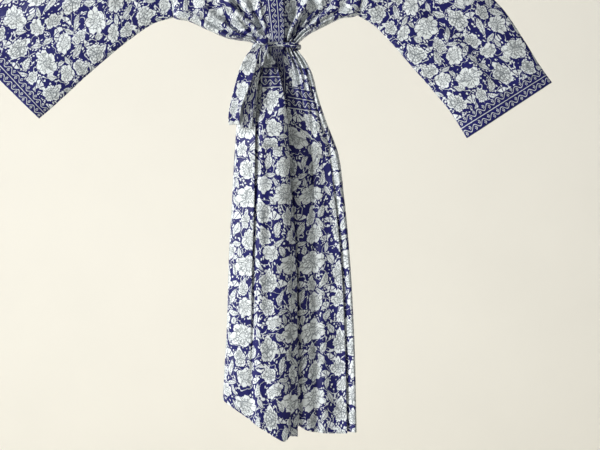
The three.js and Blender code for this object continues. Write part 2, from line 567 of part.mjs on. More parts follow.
// The belt where it goes round the waist: a strip crushed to a cord, square-cornered in plan.
const BELT = { z: -470, x: -1, y: -2.5, halfWidth: 56, halfDepth: 32, corner: 4.5, high: 6.5, thick: 2.2 };
const BELT_RINGS = 40;
const BELT_SIDES = 6;
const BELT_SWELL = { share: 0.2, times: 5 }; // it grows fatter and thinner
const BELT_SWAY = { height: 1.5, times: 3 }; // and rises and falls

function beltRound() {
  const plan = (angle) => {
    const [c, s] = [Math.cos(angle), Math.sin(angle)];
    const reach = (Math.abs(c) ** BELT.corner + Math.abs(s) ** BELT.corner) ** (-1 / BELT.corner);
    return [BELT.x + BELT.halfWidth * c * reach, BELT.y + BELT.halfDepth * s * reach];
  };
  const rings = Array.from({ length: BELT_RINGS }, (_, i) => {
    const angle = (i / BELT_RINGS) * 2 * Math.PI;
    const [x, y] = plan(angle);
    const [x1, y1] = plan(angle + 0.01);
    const out = new THREE.Vector3(y1 - y, x - x1, 0).normalize();
    const high = BELT.high * (1 + BELT_SWELL.share * Math.sin(BELT_SWELL.times * angle));
    const z = BELT.z + BELT_SWAY.height * Math.sin(BELT_SWAY.times * angle);
    return Array.from({ length: BELT_SIDES }, (_, k) => {
      const turn = (k / BELT_SIDES) * 2 * Math.PI;
      return new THREE.Vector3(x, y, z + high * Math.sin(turn)).addScaledVector(
        out, BELT.thick * Math.cos(turn),
      );
    });
  });
  return loft("belt", rings, PRINTED, true);
}

// The knot: a flattened ball with a slanting crease where the ends cross. slant, narrow and deep give the
// crease as shares of the knot's size.
const KNOT = { at: [-31, -42.8, -461.8], half: [14, 8, 12], slant: 0.6, narrow: 0.3, deep: 0.14 };

function knot() {
  const ball = new THREE.SphereGeometry(1, 14, 9);
  const position = ball.getAttribute("position");
  const point = new THREE.Vector3();
  for (let i = 0; i < position.count; i++) {
    point.fromBufferAttribute(position, i);
    const off = (point.x + KNOT.slant * point.y) / KNOT.narrow;
    point.multiplyScalar(1 - KNOT.deep * Math.exp(-(off ** 2)));
    position.setXYZ(i, point.x * KNOT.half[0], -point.z * KNOT.half[1], point.y * KNOT.half[2]);
  }
  ball.computeVertexNormals();
  const mesh = new THREE.Mesh(ball, PRINTED);
  mesh.name = "belt_knot";
  mesh.position.set(...KNOT.at);
  return mesh;
}

// Centres of the belt's loop and ends below the knot, with the width seen and how the width lies.
const LOOP = [
  { at: [-38.6, -46.5, -471.6], width: 11, turn: 0, tilt: -30 },
  { at: [-53, -53, -496], width: 24, turn: 0, tilt: -24 },
  { at: [-65, -56, -528], width: 34, turn: -5, tilt: -20 },
  { at: [-77, -58, -566], width: 33, turn: -12, tilt: -18 },
  { at: [-89, -59, -604], width: 29, turn: -18, tilt: -12 },
  { at: [-95, -58, -636], width: 27, turn: -12, tilt: -4 },
  { at: [-94, -52.5, -652], width: 26, turn: -6, tilt: 0 },
  { at: [-90, -47, -636], width: 27, turn: -4, tilt: -6 },
  { at: [-81, -46, -600], width: 29, turn: 0, tilt: -12 },
  { at: [-68, -45.5, -556], width: 30, turn: 0, tilt: -18 },
  { at: [-51.5, -43.6, -508], width: 24, turn: 0, tilt: -20 },
  { at: [-38.6, -41.6, -473.4], width: 11, turn: 0, tilt: -26 },
];
const END_LONG = [
  { at: [-30.4, -43.6, -474.3], width: 6, turn: 0, tilt: 2 },
  { at: [-42, -48, -505], width: 20, turn: 4, tilt: -18 },
  { at: [-54, -51.5, -555], width: 25, turn: 10, tilt: -16 },
  { at: [-62, -52, -605], width: 24, turn: 8, tilt: -10 },
  { at: [-67, -52, -660], width: 22, turn: 4, tilt: -6 },
];
const END_SHORT = [
  { at: [-23.6, -45.3, -471.8], width: 9, turn: 0, tilt: 26 },
  { at: [-28, -51, -484], width: 15, turn: 8, tilt: -25 },
  { at: [-32, -52, -501], width: 12, turn: 15, tilt: -15 },
  { at: [-35, -52, -520], width: 8, turn: 10, tilt: -10 },
];

// The hanger: a shaped wooden bar under the shoulders and a steel hook through its middle. The bar's top
// follows the shoulder seams just below the cloth.
const BAR_LINE = [[0, -61], [30, -68], [55, -82.5], [80, -91.5], [140, -115.5], [190, -137], [207, -144.8]];
const BAR_HALF = { thick: 5, high: 8 };
const BAR_RINGS = 25;
const BAR_SIDES = 8;
const BAR_TAPER = { from: 190, over: 40 }; // the ends grow thinner
const WIRE = 2;
const WIRE_SIDES = 6;
const HOOK_LOOP = 18; // inside radius, open at the left
const HOOK_END = 200; // degrees, where the wire ends
const HOOK_ARCS = 18;

function hangerBar() {
  const shape = [...BAR_LINE.slice(1).reverse().map(([x, z]) => [-x, z]), ...BAR_LINE];
  const rings = Array.from({ length: BAR_RINGS }, (_, i) => {
    const t = (i / (BAR_RINGS - 1)) * (shape.length - 1);
    const [x, top] = through(shape, t);
    const end = 1 - Math.max(0, (Math.abs(x) - BAR_TAPER.from) / BAR_TAPER.over);
    return Array.from({ length: BAR_SIDES }, (_, k) => {
      const turn = ((k + 0.5) / BAR_SIDES) * 2 * Math.PI;
      const high = BAR_HALF.high * end;
      return new THREE.Vector3(
        x, BAR_HALF.thick * end * Math.cos(turn), top - high + high * Math.sin(turn),
      );
    });
  });
  return loft("hanger_bar", rings, BIRCH, false);
}

// Its loop stands on a short stem, with one bend between them.
function hangerHook() {
  const radius = HOOK_LOOP + WIRE;
  const middle = -HOOK_LOOP;
  const arc = Array.from({ length: HOOK_ARCS + 1 }, (_, i) => {
    const angle = THREE.MathUtils.degToRad(mix(-90, HOOK_END, i / HOOK_ARCS));
    const at = [radius * Math.cos(angle), middle + radius * Math.sin(angle)];
    return { at, out: [Math.cos(angle), Math.sin(angle)] };
  });
  const stem = [BAR_LINE[0][1] + SEAM, middle - radius - 3].map((z) => ({ at: [0, z], out: [1, 0] }));
  const bend = { at: [1, middle - radius - 0.4], out: [0.7, -0.7] };
  const rings = [...stem, bend, ...arc.slice(1)].map(({ at, out }) =>
    Array.from({ length: WIRE_SIDES }, (_, k) => {
      const turn = (k / WIRE_SIDES) * 2 * Math.PI;
      const [c, s] = [WIRE * Math.cos(turn), WIRE * Math.sin(turn)];
      return new THREE.Vector3(at[0] + out[0] * c, s, at[1] + out[1] * c);
    }),
  );
  return loft("hanger_hook", rings, STEEL, false);
}

function frontPanel(sections, turns, arm) {
  return bodyPanel(frontTurns(sections, turns, arm), [arm, null], -1, FRONT_STEPS);
}

const left = frontPanel(LEFT_SECTIONS, LEFT_TURNS, ARMHOLE.left);
const right = frontPanel(RIGHT_SECTIONS, RIGHT_TURNS, ARMHOLE.right);
const back = bodyPanel(backTurns(), [ARMHOLE.left, ARMHOLE.right], 1, BACK_STEPS);

const robe = new THREE.Group();
robe.add(
  sheet("front_left", left.grid, left.normals, WALL, PRINTED),
  sheet("front_right", right.grid, right.normals, WALL, PRINTED),
  sheet("back", back.grid, back.normals, WALL, PRINTED),
  sleeve("left"),
  sleeve("right"),
  neckBand(left, back, right),
  pocket("pocket_left", left, { top: 15, bottom: 17.9, from: 6, to: 10 }),
  pocket("pocket_right", right, { top: 16, bottom: 18.1, from: 3, to: 11 }),
  beltRound(),
  knot(),
  ribbon("belt_loop", LOOP, 2, BELT_WALL, PRINTED),
  ribbon("belt_end_long", END_LONG, 3, BELT_WALL, PRINTED),
  ribbon("belt_end_short", END_SHORT, 2, BELT_WALL, PRINTED),
  hangerBar(),
  hangerHook(),
);

export default robe;
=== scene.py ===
"""A kimono robe of block-printed cotton, tied at the waist, on a plain wooden hanger against a pale wall.

Every length in the tables is in millimetres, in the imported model's own frame: +X to the viewer's right,
+Z up, the viewer at -Y, and the origin where the hook rests.
"""

import math

import bpy
import numpy as np
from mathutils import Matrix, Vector


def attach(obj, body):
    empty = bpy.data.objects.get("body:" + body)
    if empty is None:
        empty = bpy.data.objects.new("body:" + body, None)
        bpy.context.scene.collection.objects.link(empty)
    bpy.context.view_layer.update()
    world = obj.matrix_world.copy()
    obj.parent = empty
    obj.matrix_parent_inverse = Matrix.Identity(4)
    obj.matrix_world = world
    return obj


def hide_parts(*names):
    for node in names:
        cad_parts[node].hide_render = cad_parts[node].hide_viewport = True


bl_info = {
    "name": "Block-printed kimono robe",
    "version": (1, 0, 0),
    "blender": (4, 5, 0),
    "location": "3D View > Sidebar > Robe",
    "description": "Makes a tied cotton kimono robe on its hanger, with its block print",
    "category": "Add Mesh",
}

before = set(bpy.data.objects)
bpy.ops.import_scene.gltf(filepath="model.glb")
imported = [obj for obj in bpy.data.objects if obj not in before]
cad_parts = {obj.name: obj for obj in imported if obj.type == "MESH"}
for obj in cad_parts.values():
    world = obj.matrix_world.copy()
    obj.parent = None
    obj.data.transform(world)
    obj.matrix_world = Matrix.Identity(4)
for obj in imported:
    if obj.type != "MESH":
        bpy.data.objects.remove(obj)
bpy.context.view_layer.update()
MM = 0.001

# The robe's cut, the same as in the imported model.
SEAM = 0.3
NECK_HALF = 80
NECK_Z = -86
NECK_DIP = 12
NECK_BACK = 9
NECK_BLEND = 8
NECK_SEAM = NECK_HALF - 1
SLEEVE_HALF = 11
BAND_WIDTH = 40
HEM_STATION = 5.8
HEM_OVER = 0.2
SWELL_POWER = 1.5
SAG_POWER = 1.4
LENS_POWER = 0.7
TIP, UNDERARM = 0, 1
ARMHOLE = {"left": ((-262, -165), (-238, -401)), "right": ((270, -170), (184, -396))}
ARM_SHARES = (0, 0.017, 0.068, 0.25, 0.55, 0.82, 0.955, 1)

# Sections of the fronts from the shoulder down: station, side x and z, edge x and z, then how far the side,
# the middle and the edge stand out, and the width of the neck band. The first eight sides are on the armhole.
LEFT_SECTIONS = (
    (0.0, 0, 0, -80, -86, 0, 0, 0, 40),
    (0.05, 0, 0, -79, -90, 0, 6.5, 6.5, 40),
    (0.1, 0, 0, -76, -103, 0, 9.5, 10, 40),
    (0.3, 0, 0, -66, -155, 0, 12, 13, 40),
    (0.6, 0, 0, -47, -240, 0, 15, 17, 40),
    (0.85, 0, 0, -32, -312, 0, 18, 21, 40),
    (0.97, 0, 0, -26, -340, 0, 19, 22, 39),
    (1.0, 0, 0, -24, -354, 0, 19, 22, 39),
    (1.3, -200, -412, -20, -388, 2, 20, 23, 37),
    (1.55, -152, -434, -16, -420, 3, 21, 24, 34),
    (1.8, -104, -451, -13, -444, 3, 21, 25, 31),
    (1.95, -64, -456, -11.5, -455, 2, 20, 25, 28),
    (2.0, -50, -464, -11, -463, 2, 20, 25, 27),
    (2.04, -50, -478, -10, -478, 2, 20, 25, 24),
    (2.2, -56, -499, -3, -499, 3, 26, 30, 9),
    (2.45, -63, -521, 5, -521, 4, 31, 35, 6),
    (2.75, -75, -568, 15, -568, 5, 35, 40, 10),
    (3.0, -88, -630, 22, -630, 5, 37, 42, 30),
    (3.6, -95, -712, 28, -712, 5, 38, 44, 38),
    (4.4, -101, -822, 32, -822, 5, 38, 44, 40),
    (5.0, -108, -950, 34, -950, 5, 38, 44, 40),
    (5.5, -113, -1110, 34, -1120, 5, 37, 43, 40),
    (5.8, -119, -1220, 33, -1260, 5, 36, 42, 40),
    (6.0, -122, -1280, 32, -1364, 5, 36, 42, 40),
)
RIGHT_SECTIONS = (
    (0.0, 0, 0, 80, -86, 0, 0, 0, 40),
    (0.05, 0, 0, 79, -90, 0, 6.5, 6.5, 40),
    (0.1, 0, 0, 75, -103, 0, 9.5, 9.5, 40),
    (0.3, 0, 0, 62, -155, 0, 11, 10, 40),
    (0.6, 0, 0, 40, -240, 0, 13, 11, 40),
    (0.85, 0, 0, 23, -308, 0, 15, 11, 38),
    (0.97, 0, 0, 16, -336, 0, 16, 11, 36),
    (1.0, 0, 0, 14, -350, 0, 16, 11, 34),
    (1.3, 146, -405, 13, -386, 2, 17, 12, 30),
    (1.55, 106, -424, 12, -418, 3, 18, 13, 28),
    (1.8, 72, -441, 12, -442, 3, 19, 14, 26),
    (1.95, 57, -453, 12, -455, 2, 20, 15, 24),
    (2.0, 47, -463, 12, -463, 2, 20, 15, 22),
    (2.04, 48, -478, 12.5, -478, 2, 20, 15, 22),
    (2.2, 64, -500, 15, -499, 3, 24, 15, 24),
    (2.45, 78, -528, 19, -522, 4, 27, 15, 27),
    (2.75, 91, -577, 20, -562, 5, 29, 17, 32),
    (3.0, 110, -638, 14, -626, 5, 30, 19, 36),
    (3.6, 138, -712, 8, -714, 5, 31, 21, 40),
    (4.4, 153, -822, 4, -822, 5, 31, 22, 40),
    (5.0, 165, -950, 4, -950, 5, 31, 22, 40),
    (5.5, 175, -1110, 5, -1110, 5, 31, 22, 40),
    (5.8, 180, -1250, 6, -1250, 5, 31, 22, 40),
    (6.0, 182, -1353, 8, -1330, 5, 31, 22, 40),
)
# The back's middle: station, drop below the neck or height, and how far it stands back.
NECK_ROWS = 3
BACK_SECTIONS = (
    (0.0, 0, 0), (0.05, 4, 6.5), (0.1, 17, 9.5), (0.3, -160, 11), (0.6, -240, 13), (0.85, -310, 15),
    (0.97, -340, 16), (1.0, -352, 16), (1.3, -387, 17), (1.55, -419, 18), (1.8, -443, 18), (1.95, -455, 18),
    (2.0, -464, 18), (2.04, -478, 18), (2.2, -500, 19), (2.45, -524, 19), (2.75, -570, 19), (3.0, -632, 18),
    (3.6, -713, 18), (4.4, -822, 18), (5.0, -950, 18), (5.5, -1110, 18), (5.8, -1225, 18), (6.0, -1300, 18),
)
# Turns of the cloth, side seam first. At the shoulder, bust, waist, hip, thigh, knee and hem: each one's
# share of the width, and how far it stands out. Then its extra length at the hem.
LEFT_TURNS = (
    ((0, 0, 0, 0, 0, 0, 0), (0, 0, 0, 0, 0, 0, 0), 0),
    ((0.06, 0.04, 0, -0.01, -0.01, -0.01, -0.01), (0, -2, -9, -18, -18, -18, -18), 0),
    ((0.16, 0.12, 0.09, 0.05, 0.05, 0.04, 0.04), (0, 1, 4, -2, -2, -2, -3), 1),
    ((0.26, 0.22, 0.19, 0.18, 0.18, 0.17, 0.17), (0, -3, -6, 3, 3, 3, 2), 3),
    ((0.36, 0.33, 0.3, 0.37, 0.385, 0.37, 0.34), (0, 3, 6, 5, 5, 4, 2), 6),
    ((0.46, 0.44, 0.4, 0.28, 0.29, 0.36, 0.45), (0, -4, -7, -12, -10, -7, -3), 9),
    ((0.55, 0.57, 0.51, 0.45, 0.47, 0.5, 0.56), (0, 5, 7, -3, -2, 0, 1), 11),
    ((0.64, 0.67, 0.61, 0.62, 0.62, 0.64, 0.68), (0, -4, -7, -1, -1, -1, 0), 13),
    ((0.73, 0.77, 0.72, 0.8, 0.8, 0.79, 0.8), (0, 4, 6, 0, 0, 1, 1), 14),
    ((0.82, 0.86, 0.82, 0.93, 0.92, 0.91, 0.91), (0, -3, -4, 1, 1, 1, 0), 12),
    ((0.89, 0.91, 0.89, 1, 1, 1, 0.99), (0, 1, 1, -1, -1, -1, -2), -8),
    ((0.93, 0.94, 0.93, 0.98, 0.96, 0.95, 0.95), (0, 0, 0, -5, -6, -7, -8), -10),
    ((0.97, 0.97, 0.97, 0.94, 0.99, 1.07, 1.1), (0, 0, 0, -8, -8, -9, -9), -4),
    ((1, 1, 1, 0.88, 0.92, 1.01, 1.03), (0, 0, 0, -9.5, -11, -12, -12), -4),
)
RIGHT_TURNS = (
    ((0, 0, 0, 0, 0, 0, 0), (0, 0, 0, 0, 0, 0, 0), 0),
    ((0.06, 0.04, 0, -0.01, -0.01, -0.01, 0), (0, -2, -9, -14, -14, -14, -14), 0),
    ((0.15, 0.12, 0.09, 0.05, 0.04, 0.03, 0.03), (0, 1, 4, -2, -2, -4, -3), 0),
    ((0.24, 0.2, 0.19, 0.13, 0.12, 0.17, 0.16), (0, -2, -6, -3, -4, -9, -8), 2),
    ((0.33, 0.3, 0.3, 0.21, 0.16, 0.12, 0.125), (0, 3, 6, 2, 1, 2, 2), 4),
    ((0.42, 0.4, 0.4, 0.31, 0.3, 0.25, 0.25), (0, -3, -7, 3, 3, 4, 3), 8),
    ((0.51, 0.5, 0.5, 0.4, 0.46, 0.41, 0.41), (0, 4, 7, 3, 5, 1, 2), 11),
    ((0.6, 0.59, 0.6, 0.47, 0.4, 0.53, 0.54), (0, -5, -7, -2, -5, 2, 2), 12),
    ((0.69, 0.69, 0.7, 0.57, 0.56, 0.64, 0.65), (0, 5, 5, 1, 1, 1, 1), 10),
    ((0.77, 0.78, 0.8, 0.69, 0.71, 0.74, 0.75), (0, -4, -4, 0, -1, -2, -2), 4),
    ((0.85, 0.86, 0.89, 0.81, 0.82, 0.84, 0.84), (0, 0, 0, -2, -3, -3, -3), 2),
    ((0.93, 0.93, 0.95, 0.91, 0.91, 0.92, 0.92), (0, 0, 0, 0, 0, 0, 0), 0),
    ((1, 1, 1, 1, 1, 1, 1), (0, 0, 0, 0, 0, 0, 0), 0),
)
BACK_TURNS = (
    ((0, 0, 0, 0, 0, 0, 0), (0, 0, 0, 0, 0, 0, 0), 0),
    ((0.04, 0.03, 0.01, 0, 0, 0, 0), (0, -2, -6, -9, -9, -9, -9), 0),
    ((0.1, 0.09, 0.08, 0.05, 0.05, 0.05, 0.05), (0, 1, 4, 5, 5.5, 6, 6), 2),
    ((0.17, 0.16, 0.15, 0.13, 0.13, 0.13, 0.14), (0, -2, -6, -6, -6.5, -7, -8), 5),
    ((0.24, 0.23, 0.22, 0.2, 0.205, 0.21, 0.21), (0, 2, 6, 7, 7.5, 8, 7), 8),
    ((0.3, 0.3, 0.29, 0.29, 0.28, 0.27, 0.27), (0, -3, -7, -8, -8, -8, -9), 10),
    ((0.36, 0.37, 0.36, 0.35, 0.355, 0.36, 0.36), (0, 2, 7, 7, 7, 7, 8), 12),
    ((0.43, 0.43, 0.43, 0.42, 0.43, 0.44, 0.43), (0, -2, -7, -6, -6, -6, -6), 13),
    ((0.5, 0.5, 0.5, 0.5, 0.5, 0.5, 0.51), (0, 3, 7, 8, 8.5, 9, 9), 14),
    ((0.57, 0.57, 0.57, 0.59, 0.585, 0.58, 0.58), (0, -2, -7, -8, -8.5, -9, -8), 13),
    ((0.64, 0.63, 0.64, 0.65, 0.65, 0.65, 0.66), (0, 2, 7, 7, 7.5, 8, 8), 12),
    ((0.7, 0.7, 0.71, 0.72, 0.725, 0.73, 0.72), (0, -3, -7, -7, -7, -7, -8), 10),
    ((0.76, 0.77, 0.78, 0.79, 0.79, 0.79, 0.8), (0, 2, 6, 7, 7, 7, 6), 8),
    ((0.83, 0.84, 0.85, 0.87, 0.865, 0.86, 0.86), (0, -2, -6, -7, -7.5, -8, -8), 5),
    ((0.9, 0.91, 0.92, 0.94, 0.94, 0.94, 0.94), (0, 1, 4, 5, 5.5, 6, 6), 2),
    ((0.96, 0.97, 0.99, 1, 1, 1, 1), (0, -2, -6, -9, -9, -9, -9), 0),
    ((1, 1, 1, 1, 1, 1, 1), (0, 0, 0, 0, 0, 0, 0), 0),
)
# Sections of the sleeves: the upper fold's x and z, the lower edge's x and z, half the depth, how far back.
SLEEVES = {
    "left": (
        (-262, -165, -238, -401, 11, 0), (-340, -197, -289, -418, 13, 2), (-430, -239, -349, -459, 14, 5),
        (-520, -285, -409, -508, 14, 8), (-602, -334, -462, -554, 13, 10), (-666, -394, -508, -597, 12, 12),
        (-715, -472, -550, -633, 11, 13),
    ),
    "right": (
        (270, -170, 184, -396, 11, 0), (350, -240, 226, -422, 13, 2), (436, -306, 268, -464, 14, 5),
        (510, -368, 316, -519, 14, 8), (562, -440, 362, -570, 13, 10), (603, -505, 405, -624, 12, 12),
        (635, -550, 439, -679, 11, 13),
    ),
}
# The pockets: the first and last section, and the turns, that each lies between.
POCKETS = {"left": (15, 17.9, 6, 10), "right": (16, 18.1, 3, 11)}

# The belt. Its loop and ends are centre x, y and z, width, and the angles of the width in plan and elevation.
BELT = {"x": -1, "y": -2.5, "z": -470, "half_width": 53, "half_depth": 31, "corner": 4.0}
BELT_SWAY = 1.5
KNOT = {"at": (-31, -42.8, -461.8), "half": (14, 8, 12)}
LOOP = (
    (-38.6, -46.5, -471.6, 11, 0, -30), (-53, -53, -496, 24, 0, -24), (-65, -56, -528, 34, -5, -20),
    (-77, -58, -566, 33, -12, -18), (-89, -59, -604, 29, -18, -12), (-95, -58, -636, 27, -12, -4),
    (-94, -52.5, -652, 26, -6, 0), (-90, -47, -636, 27, -4, -6), (-81, -46, -600, 29, 0, -12),
    (-68, -45.5, -556, 30, 0, -18), (-51.5, -43.6, -508, 24, 0, -20), (-38.6, -41.6, -473.4, 11, 0, -26),
)
END_LONG = (
    (-30.4, -43.6, -474.3, 6, 0, 2), (-42, -48, -505, 20, 4, -18), (-54, -51.5, -555, 25, 10, -16),
    (-62, -52, -605, 24, 8, -10), (-67, -52, -660, 22, 4, -6),
)
END_SHORT = (
    (-23.6, -45.3, -471.8, 9, 0, 26), (-28, -51, -484, 15, 8, -25), (-32, -52, -501, 12, 15, -15),
    (-35, -52, -520, 8, 10, -10),
)

# The hanger: heights of the bar's top by distance from the middle, its half section, and the hook's wire.
BAR_LINE = ((0, -61), (30, -68), (55, -82.5), (80, -91.5), (140, -115.5), (190, -137), (207, -144.8))
BAR_HALF = (5, 8)
WIRE = 2
HOOK_LOOP = 18
HOOK_END = 200

# How finely the cloth is made: columns between two turns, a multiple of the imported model's three, and the
# height of a row.
ACROSS = 9
ROW = 5
MODEL_STEPS = 3

# The camera looks square at the wall. The width is what the picture takes in at the robe.
VIEW = {"x": 53, "z": -879, "width": 1380, "lens": 70}
SENSOR = 36
# The wall stands far behind the robe, so that it doesn't hide it from behind, and the floor lies below the
# picture.
WALL = {"y": 6400, "half_width": 11000, "top": 3200, "thick": 60}
FLOOR = {"z": -2700, "front": -6500, "thick": 40}
# Soft square lights: place and aim in metres, or None for the middle of the picture, power and size.
LIGHTS = {
    "key": ((-7.0, -3.7, 2.0), None, 915, 3.4),
    "fill": ((0.6, -4.0, 0.2), None, 5, 3.0),
    "behind": ((1.2, 2.7, 2.2), None, 60, 2.0),
    "backdrop": ((2.4, 1.2, -0.9), (2.4, 6.4, -0.9), 66, 8.0),
}
LAMP_COLOUR = (1, 1, 0.99)
ROOM_LIGHT = 0.25


def linear(colour):
    """A hex colour as three linear values."""
    parts = [int(colour[i : i + 2], 16) / 255 for i in (1, 3, 5)]
    return tuple(p / 12.92 if p <= 0.04045 else ((p + 0.055) / 1.055) ** 2.4 for p in parts)


class RobeSizes(bpy.types.PropertyGroup):
    """Sizes that a user would change."""

    cloth: bpy.props.FloatProperty(
        name="Cloth", description="Thickness of the cotton, as it shows at an edge", default=0.0008,
        min=0.0002, max=0.0012, unit="LENGTH",
    )
    belt_cloth: bpy.props.FloatProperty(
        name="Belt", description="Thickness of the turned-out belt", default=0.0016, min=0.0005, max=0.002,
        unit="LENGTH",
    )
    repeat: bpy.props.FloatProperty(
        name="Repeat", description="Height of the print's repeat", default=0.157, min=0.08, max=0.3,
        unit="LENGTH",
    )
    border: bpy.props.FloatProperty(
        name="Border", description="Depth of the printed border on cuffs and pockets", default=0.048,
        min=0.02, max=0.08, unit="LENGTH",
    )


class RobeColours(bpy.types.PropertyGroup):
    """Colours that a user would change."""

    indigo: bpy.props.FloatVectorProperty(
        name="Indigo", description="Ground of the print", subtype="COLOR", default=linear("#18195a"),
    )
    pale: bpy.props.FloatVectorProperty(
        name="Pale", description="Bare cloth in the flowers", subtype="COLOR", default=linear("#dde3e5"),
    )
    line: bpy.props.FloatVectorProperty(
        name="Line", description="Fine grey line-work in the flowers", subtype="COLOR",
        default=linear("#47505c"),
    )
    birch: bpy.props.FloatVectorProperty(
        name="Birch", description="The hanger's wood", subtype="COLOR", default=linear("#c79a63"),
    )
    wall: bpy.props.FloatVectorProperty(
        name="Wall", description="The wall behind", subtype="COLOR", default=linear("#f6f3ea"),
    )


# Shapes of cloth


def curve(knots, values, at):
    """A smooth curve through the values at their knots, read at other places."""
    knots, values, at = (np.asarray(item, float) for item in (knots, values, at))
    flat = values.reshape(len(values), -1)
    steps = np.diff(knots)[:, None]
    rise = np.diff(flat, axis=0) / steps
    inner = (rise[:-1] * steps[1:] + rise[1:] * steps[:-1]) / (steps[:-1] + steps[1:])
    slope = np.concatenate([rise[:1], inner, rise[-1:]])
    i = np.clip(np.searchsorted(knots, at, side="right") - 1, 0, len(knots) - 2)
    step = steps[i]
    f = (at[:, None] - knots[i][:, None]) / step
    made = (
        (2 * f**3 - 3 * f**2 + 1) * flat[i]
        + (f**3 - 2 * f**2 + f) * step * slope[i]
        + (3 * f**2 - 2 * f**3) * flat[i + 1]
        + (f**3 - f**2) * step * slope[i + 1]
    )
    return made.reshape(len(at), *values.shape[1:])


def mix(a, b, share):
    """A value part of the way from a to b."""
    return a + (b - a) * share


def lens(share):
    """Half depth of a flat sleeve as a share of its greatest."""
    return np.sqrt(np.maximum(0, 1 - (1 - 2 * np.asarray(share)) ** 2)) ** LENS_POWER


def arm_point(arm, share):
    """x and z of a place on the line of an armhole."""
    return [mix(arm[TIP][axis], arm[UNDERARM][axis], share) for axis in (0, 1)]


def at_station(table, station):
    """A fold table's value between two of its stations."""
    return float(np.interp(station, range(len(table)), table))


def hem_share(station):
    """How much of a fold's extra length has been let down at a station: all of it at the hem."""
    return max(0.0, (station - HEM_STATION) / HEM_OVER)


def front_lines(sections, turns, arm):
    """The point of each turn on each section of a front."""
    lines = []
    for row, section in enumerate(sections):
        station, side_x, side_z, edge_x, edge_z, side_out, middle_out, edge_out, _ = section
        if row < len(ARM_SHARES):
            side_x, side_z = arm_point(arm, ARM_SHARES[row])
            seam = -max(SLEEVE_HALF * float(lens(ARM_SHARES[row])), SEAM / 2)
        else:
            seam = -side_out - SEAM / 2
        line = []
        for k, (shares, depths, dip) in enumerate(turns):
            share = at_station(shares, station)
            out = mix(middle_out, edge_out, max(share, 0) ** SWELL_POWER)
            y = seam if k == 0 else -(out + at_station(depths, station))
            z = mix(side_z, edge_z, min(max(share, 0), 1)) - dip * hem_share(station)
            line.append((mix(side_x, edge_x, share), min(y, -SEAM / 2), z))
        lines.append(line)
    return np.array(lines)


def shoulder_z(x):
    """Height of the shoulder seams and the back neck above a place across the robe."""
    tip = ARMHOLE["left" if x < 0 else "right"][TIP]
    across = abs(x)
    if across < NECK_HALF:
        return NECK_Z - NECK_DIP * (1 - (across / NECK_HALF) ** 2)
    return mix(NECK_Z, tip[1], (across - NECK_HALF) / (abs(tip[0]) - NECK_HALF))


def back_lines():
    """The point of each turn on each section of the back."""
    lines = []
    for row, (station, height, middle_out) in enumerate(BACK_SECTIONS):
        if row < len(ARM_SHARES):
            left, right = (arm_point(ARMHOLE[side], ARM_SHARES[row]) for side in ("left", "right"))
            seam = max(SLEEVE_HALF * float(lens(ARM_SHARES[row])), SEAM / 2)
        else:
            left, right = LEFT_SECTIONS[row][1:3], RIGHT_SECTIONS[row][1:3]
            seam = -LEFT_SECTIONS[row][5] + SEAM / 2
        middle = mix(left[1], right[1], 0.5)
        line = []
        for k, (shares, depths, dip) in enumerate(BACK_TURNS):
            share = at_station(shares, station)
            x = mix(left[0], right[0], share)
            out = middle_out
            if row < NECK_ROWS:
                z = shoulder_z(x) - height
                blend = min(max((NECK_HALF - abs(x)) / NECK_BLEND, 0), 1)
                out = max(middle_out, NECK_BACK * blend)
            else:
                rise = 1 - abs(2 * share - 1) ** SAG_POWER
                z = mix(left[1], right[1], share) + (height - middle) * rise
            y = max(out + at_station(depths, station), SEAM / 2)
            if k in (0, len(BACK_TURNS) - 1):
                y = seam
            line.append((x, y, z - dip * hem_share(station)))
        lines.append(line)
    return np.array(lines)


def panel(lines, heights, facing):
    """A panel's fine points, and the row of each section: through the turns, then down the sections."""
    turns = lines.shape[1]
    columns = np.linspace(0, turns - 1, (turns - 1) * ACROSS + 1)
    wide = np.stack([curve(range(turns), line, columns) for line in lines])
    places, kept = [0.0], [0]
    for high, low in zip(heights, heights[1:]):
        count = max(2, math.ceil((low - high) / ROW))
        places += [mix(high - heights[0], low - heights[0], (i + 1) / count) for i in range(count)]
        kept.append(len(places) - 1)
    fine = curve(np.array(heights) - heights[0], wide, places)
    arm_rows = kept[len(ARM_SHARES) - 1] + 1
    fine[:arm_rows, :, 1] = facing * np.maximum(facing * fine[:arm_rows, :, 1], SEAM / 2)
    return fine, kept


def lengths(points, axis):
    """Length of cloth from the first row or column to each point."""
    steps = np.linalg.norm(np.diff(points, axis=axis), axis=-1)
    start = np.zeros_like(steps[:1] if axis == 0 else steps[:, :1])
    return np.cumsum(np.concatenate([start, steps], axis=axis), axis=axis)


def chart_of(points, waist_row, from_last):
    """Places on the flat cloth: across from the front edge or the middle, and up and down from the waist."""
    across = lengths(points, 1)
    zero = across[:, -1:] if from_last else across[:, across.shape[1] // 2][:, None]
    down = lengths(points, 0)
    return np.stack([across - zero, down[waist_row] - down], axis=-1)


def normals_of(points):
    """Direction square to the cloth at each point of a grid."""
    down = np.gradient(points, axis=0)
    across = np.gradient(points, axis=1)
    normal = np.cross(across, down)
    return normal / np.maximum(np.linalg.norm(normal, axis=-1, keepdims=True), 1e-9)


def smooth(share):
    """A share that starts and ends gently, kept from 0 to 1."""
    share = np.clip(share, 0, 1)
    return share * share * (3 - 2 * share)


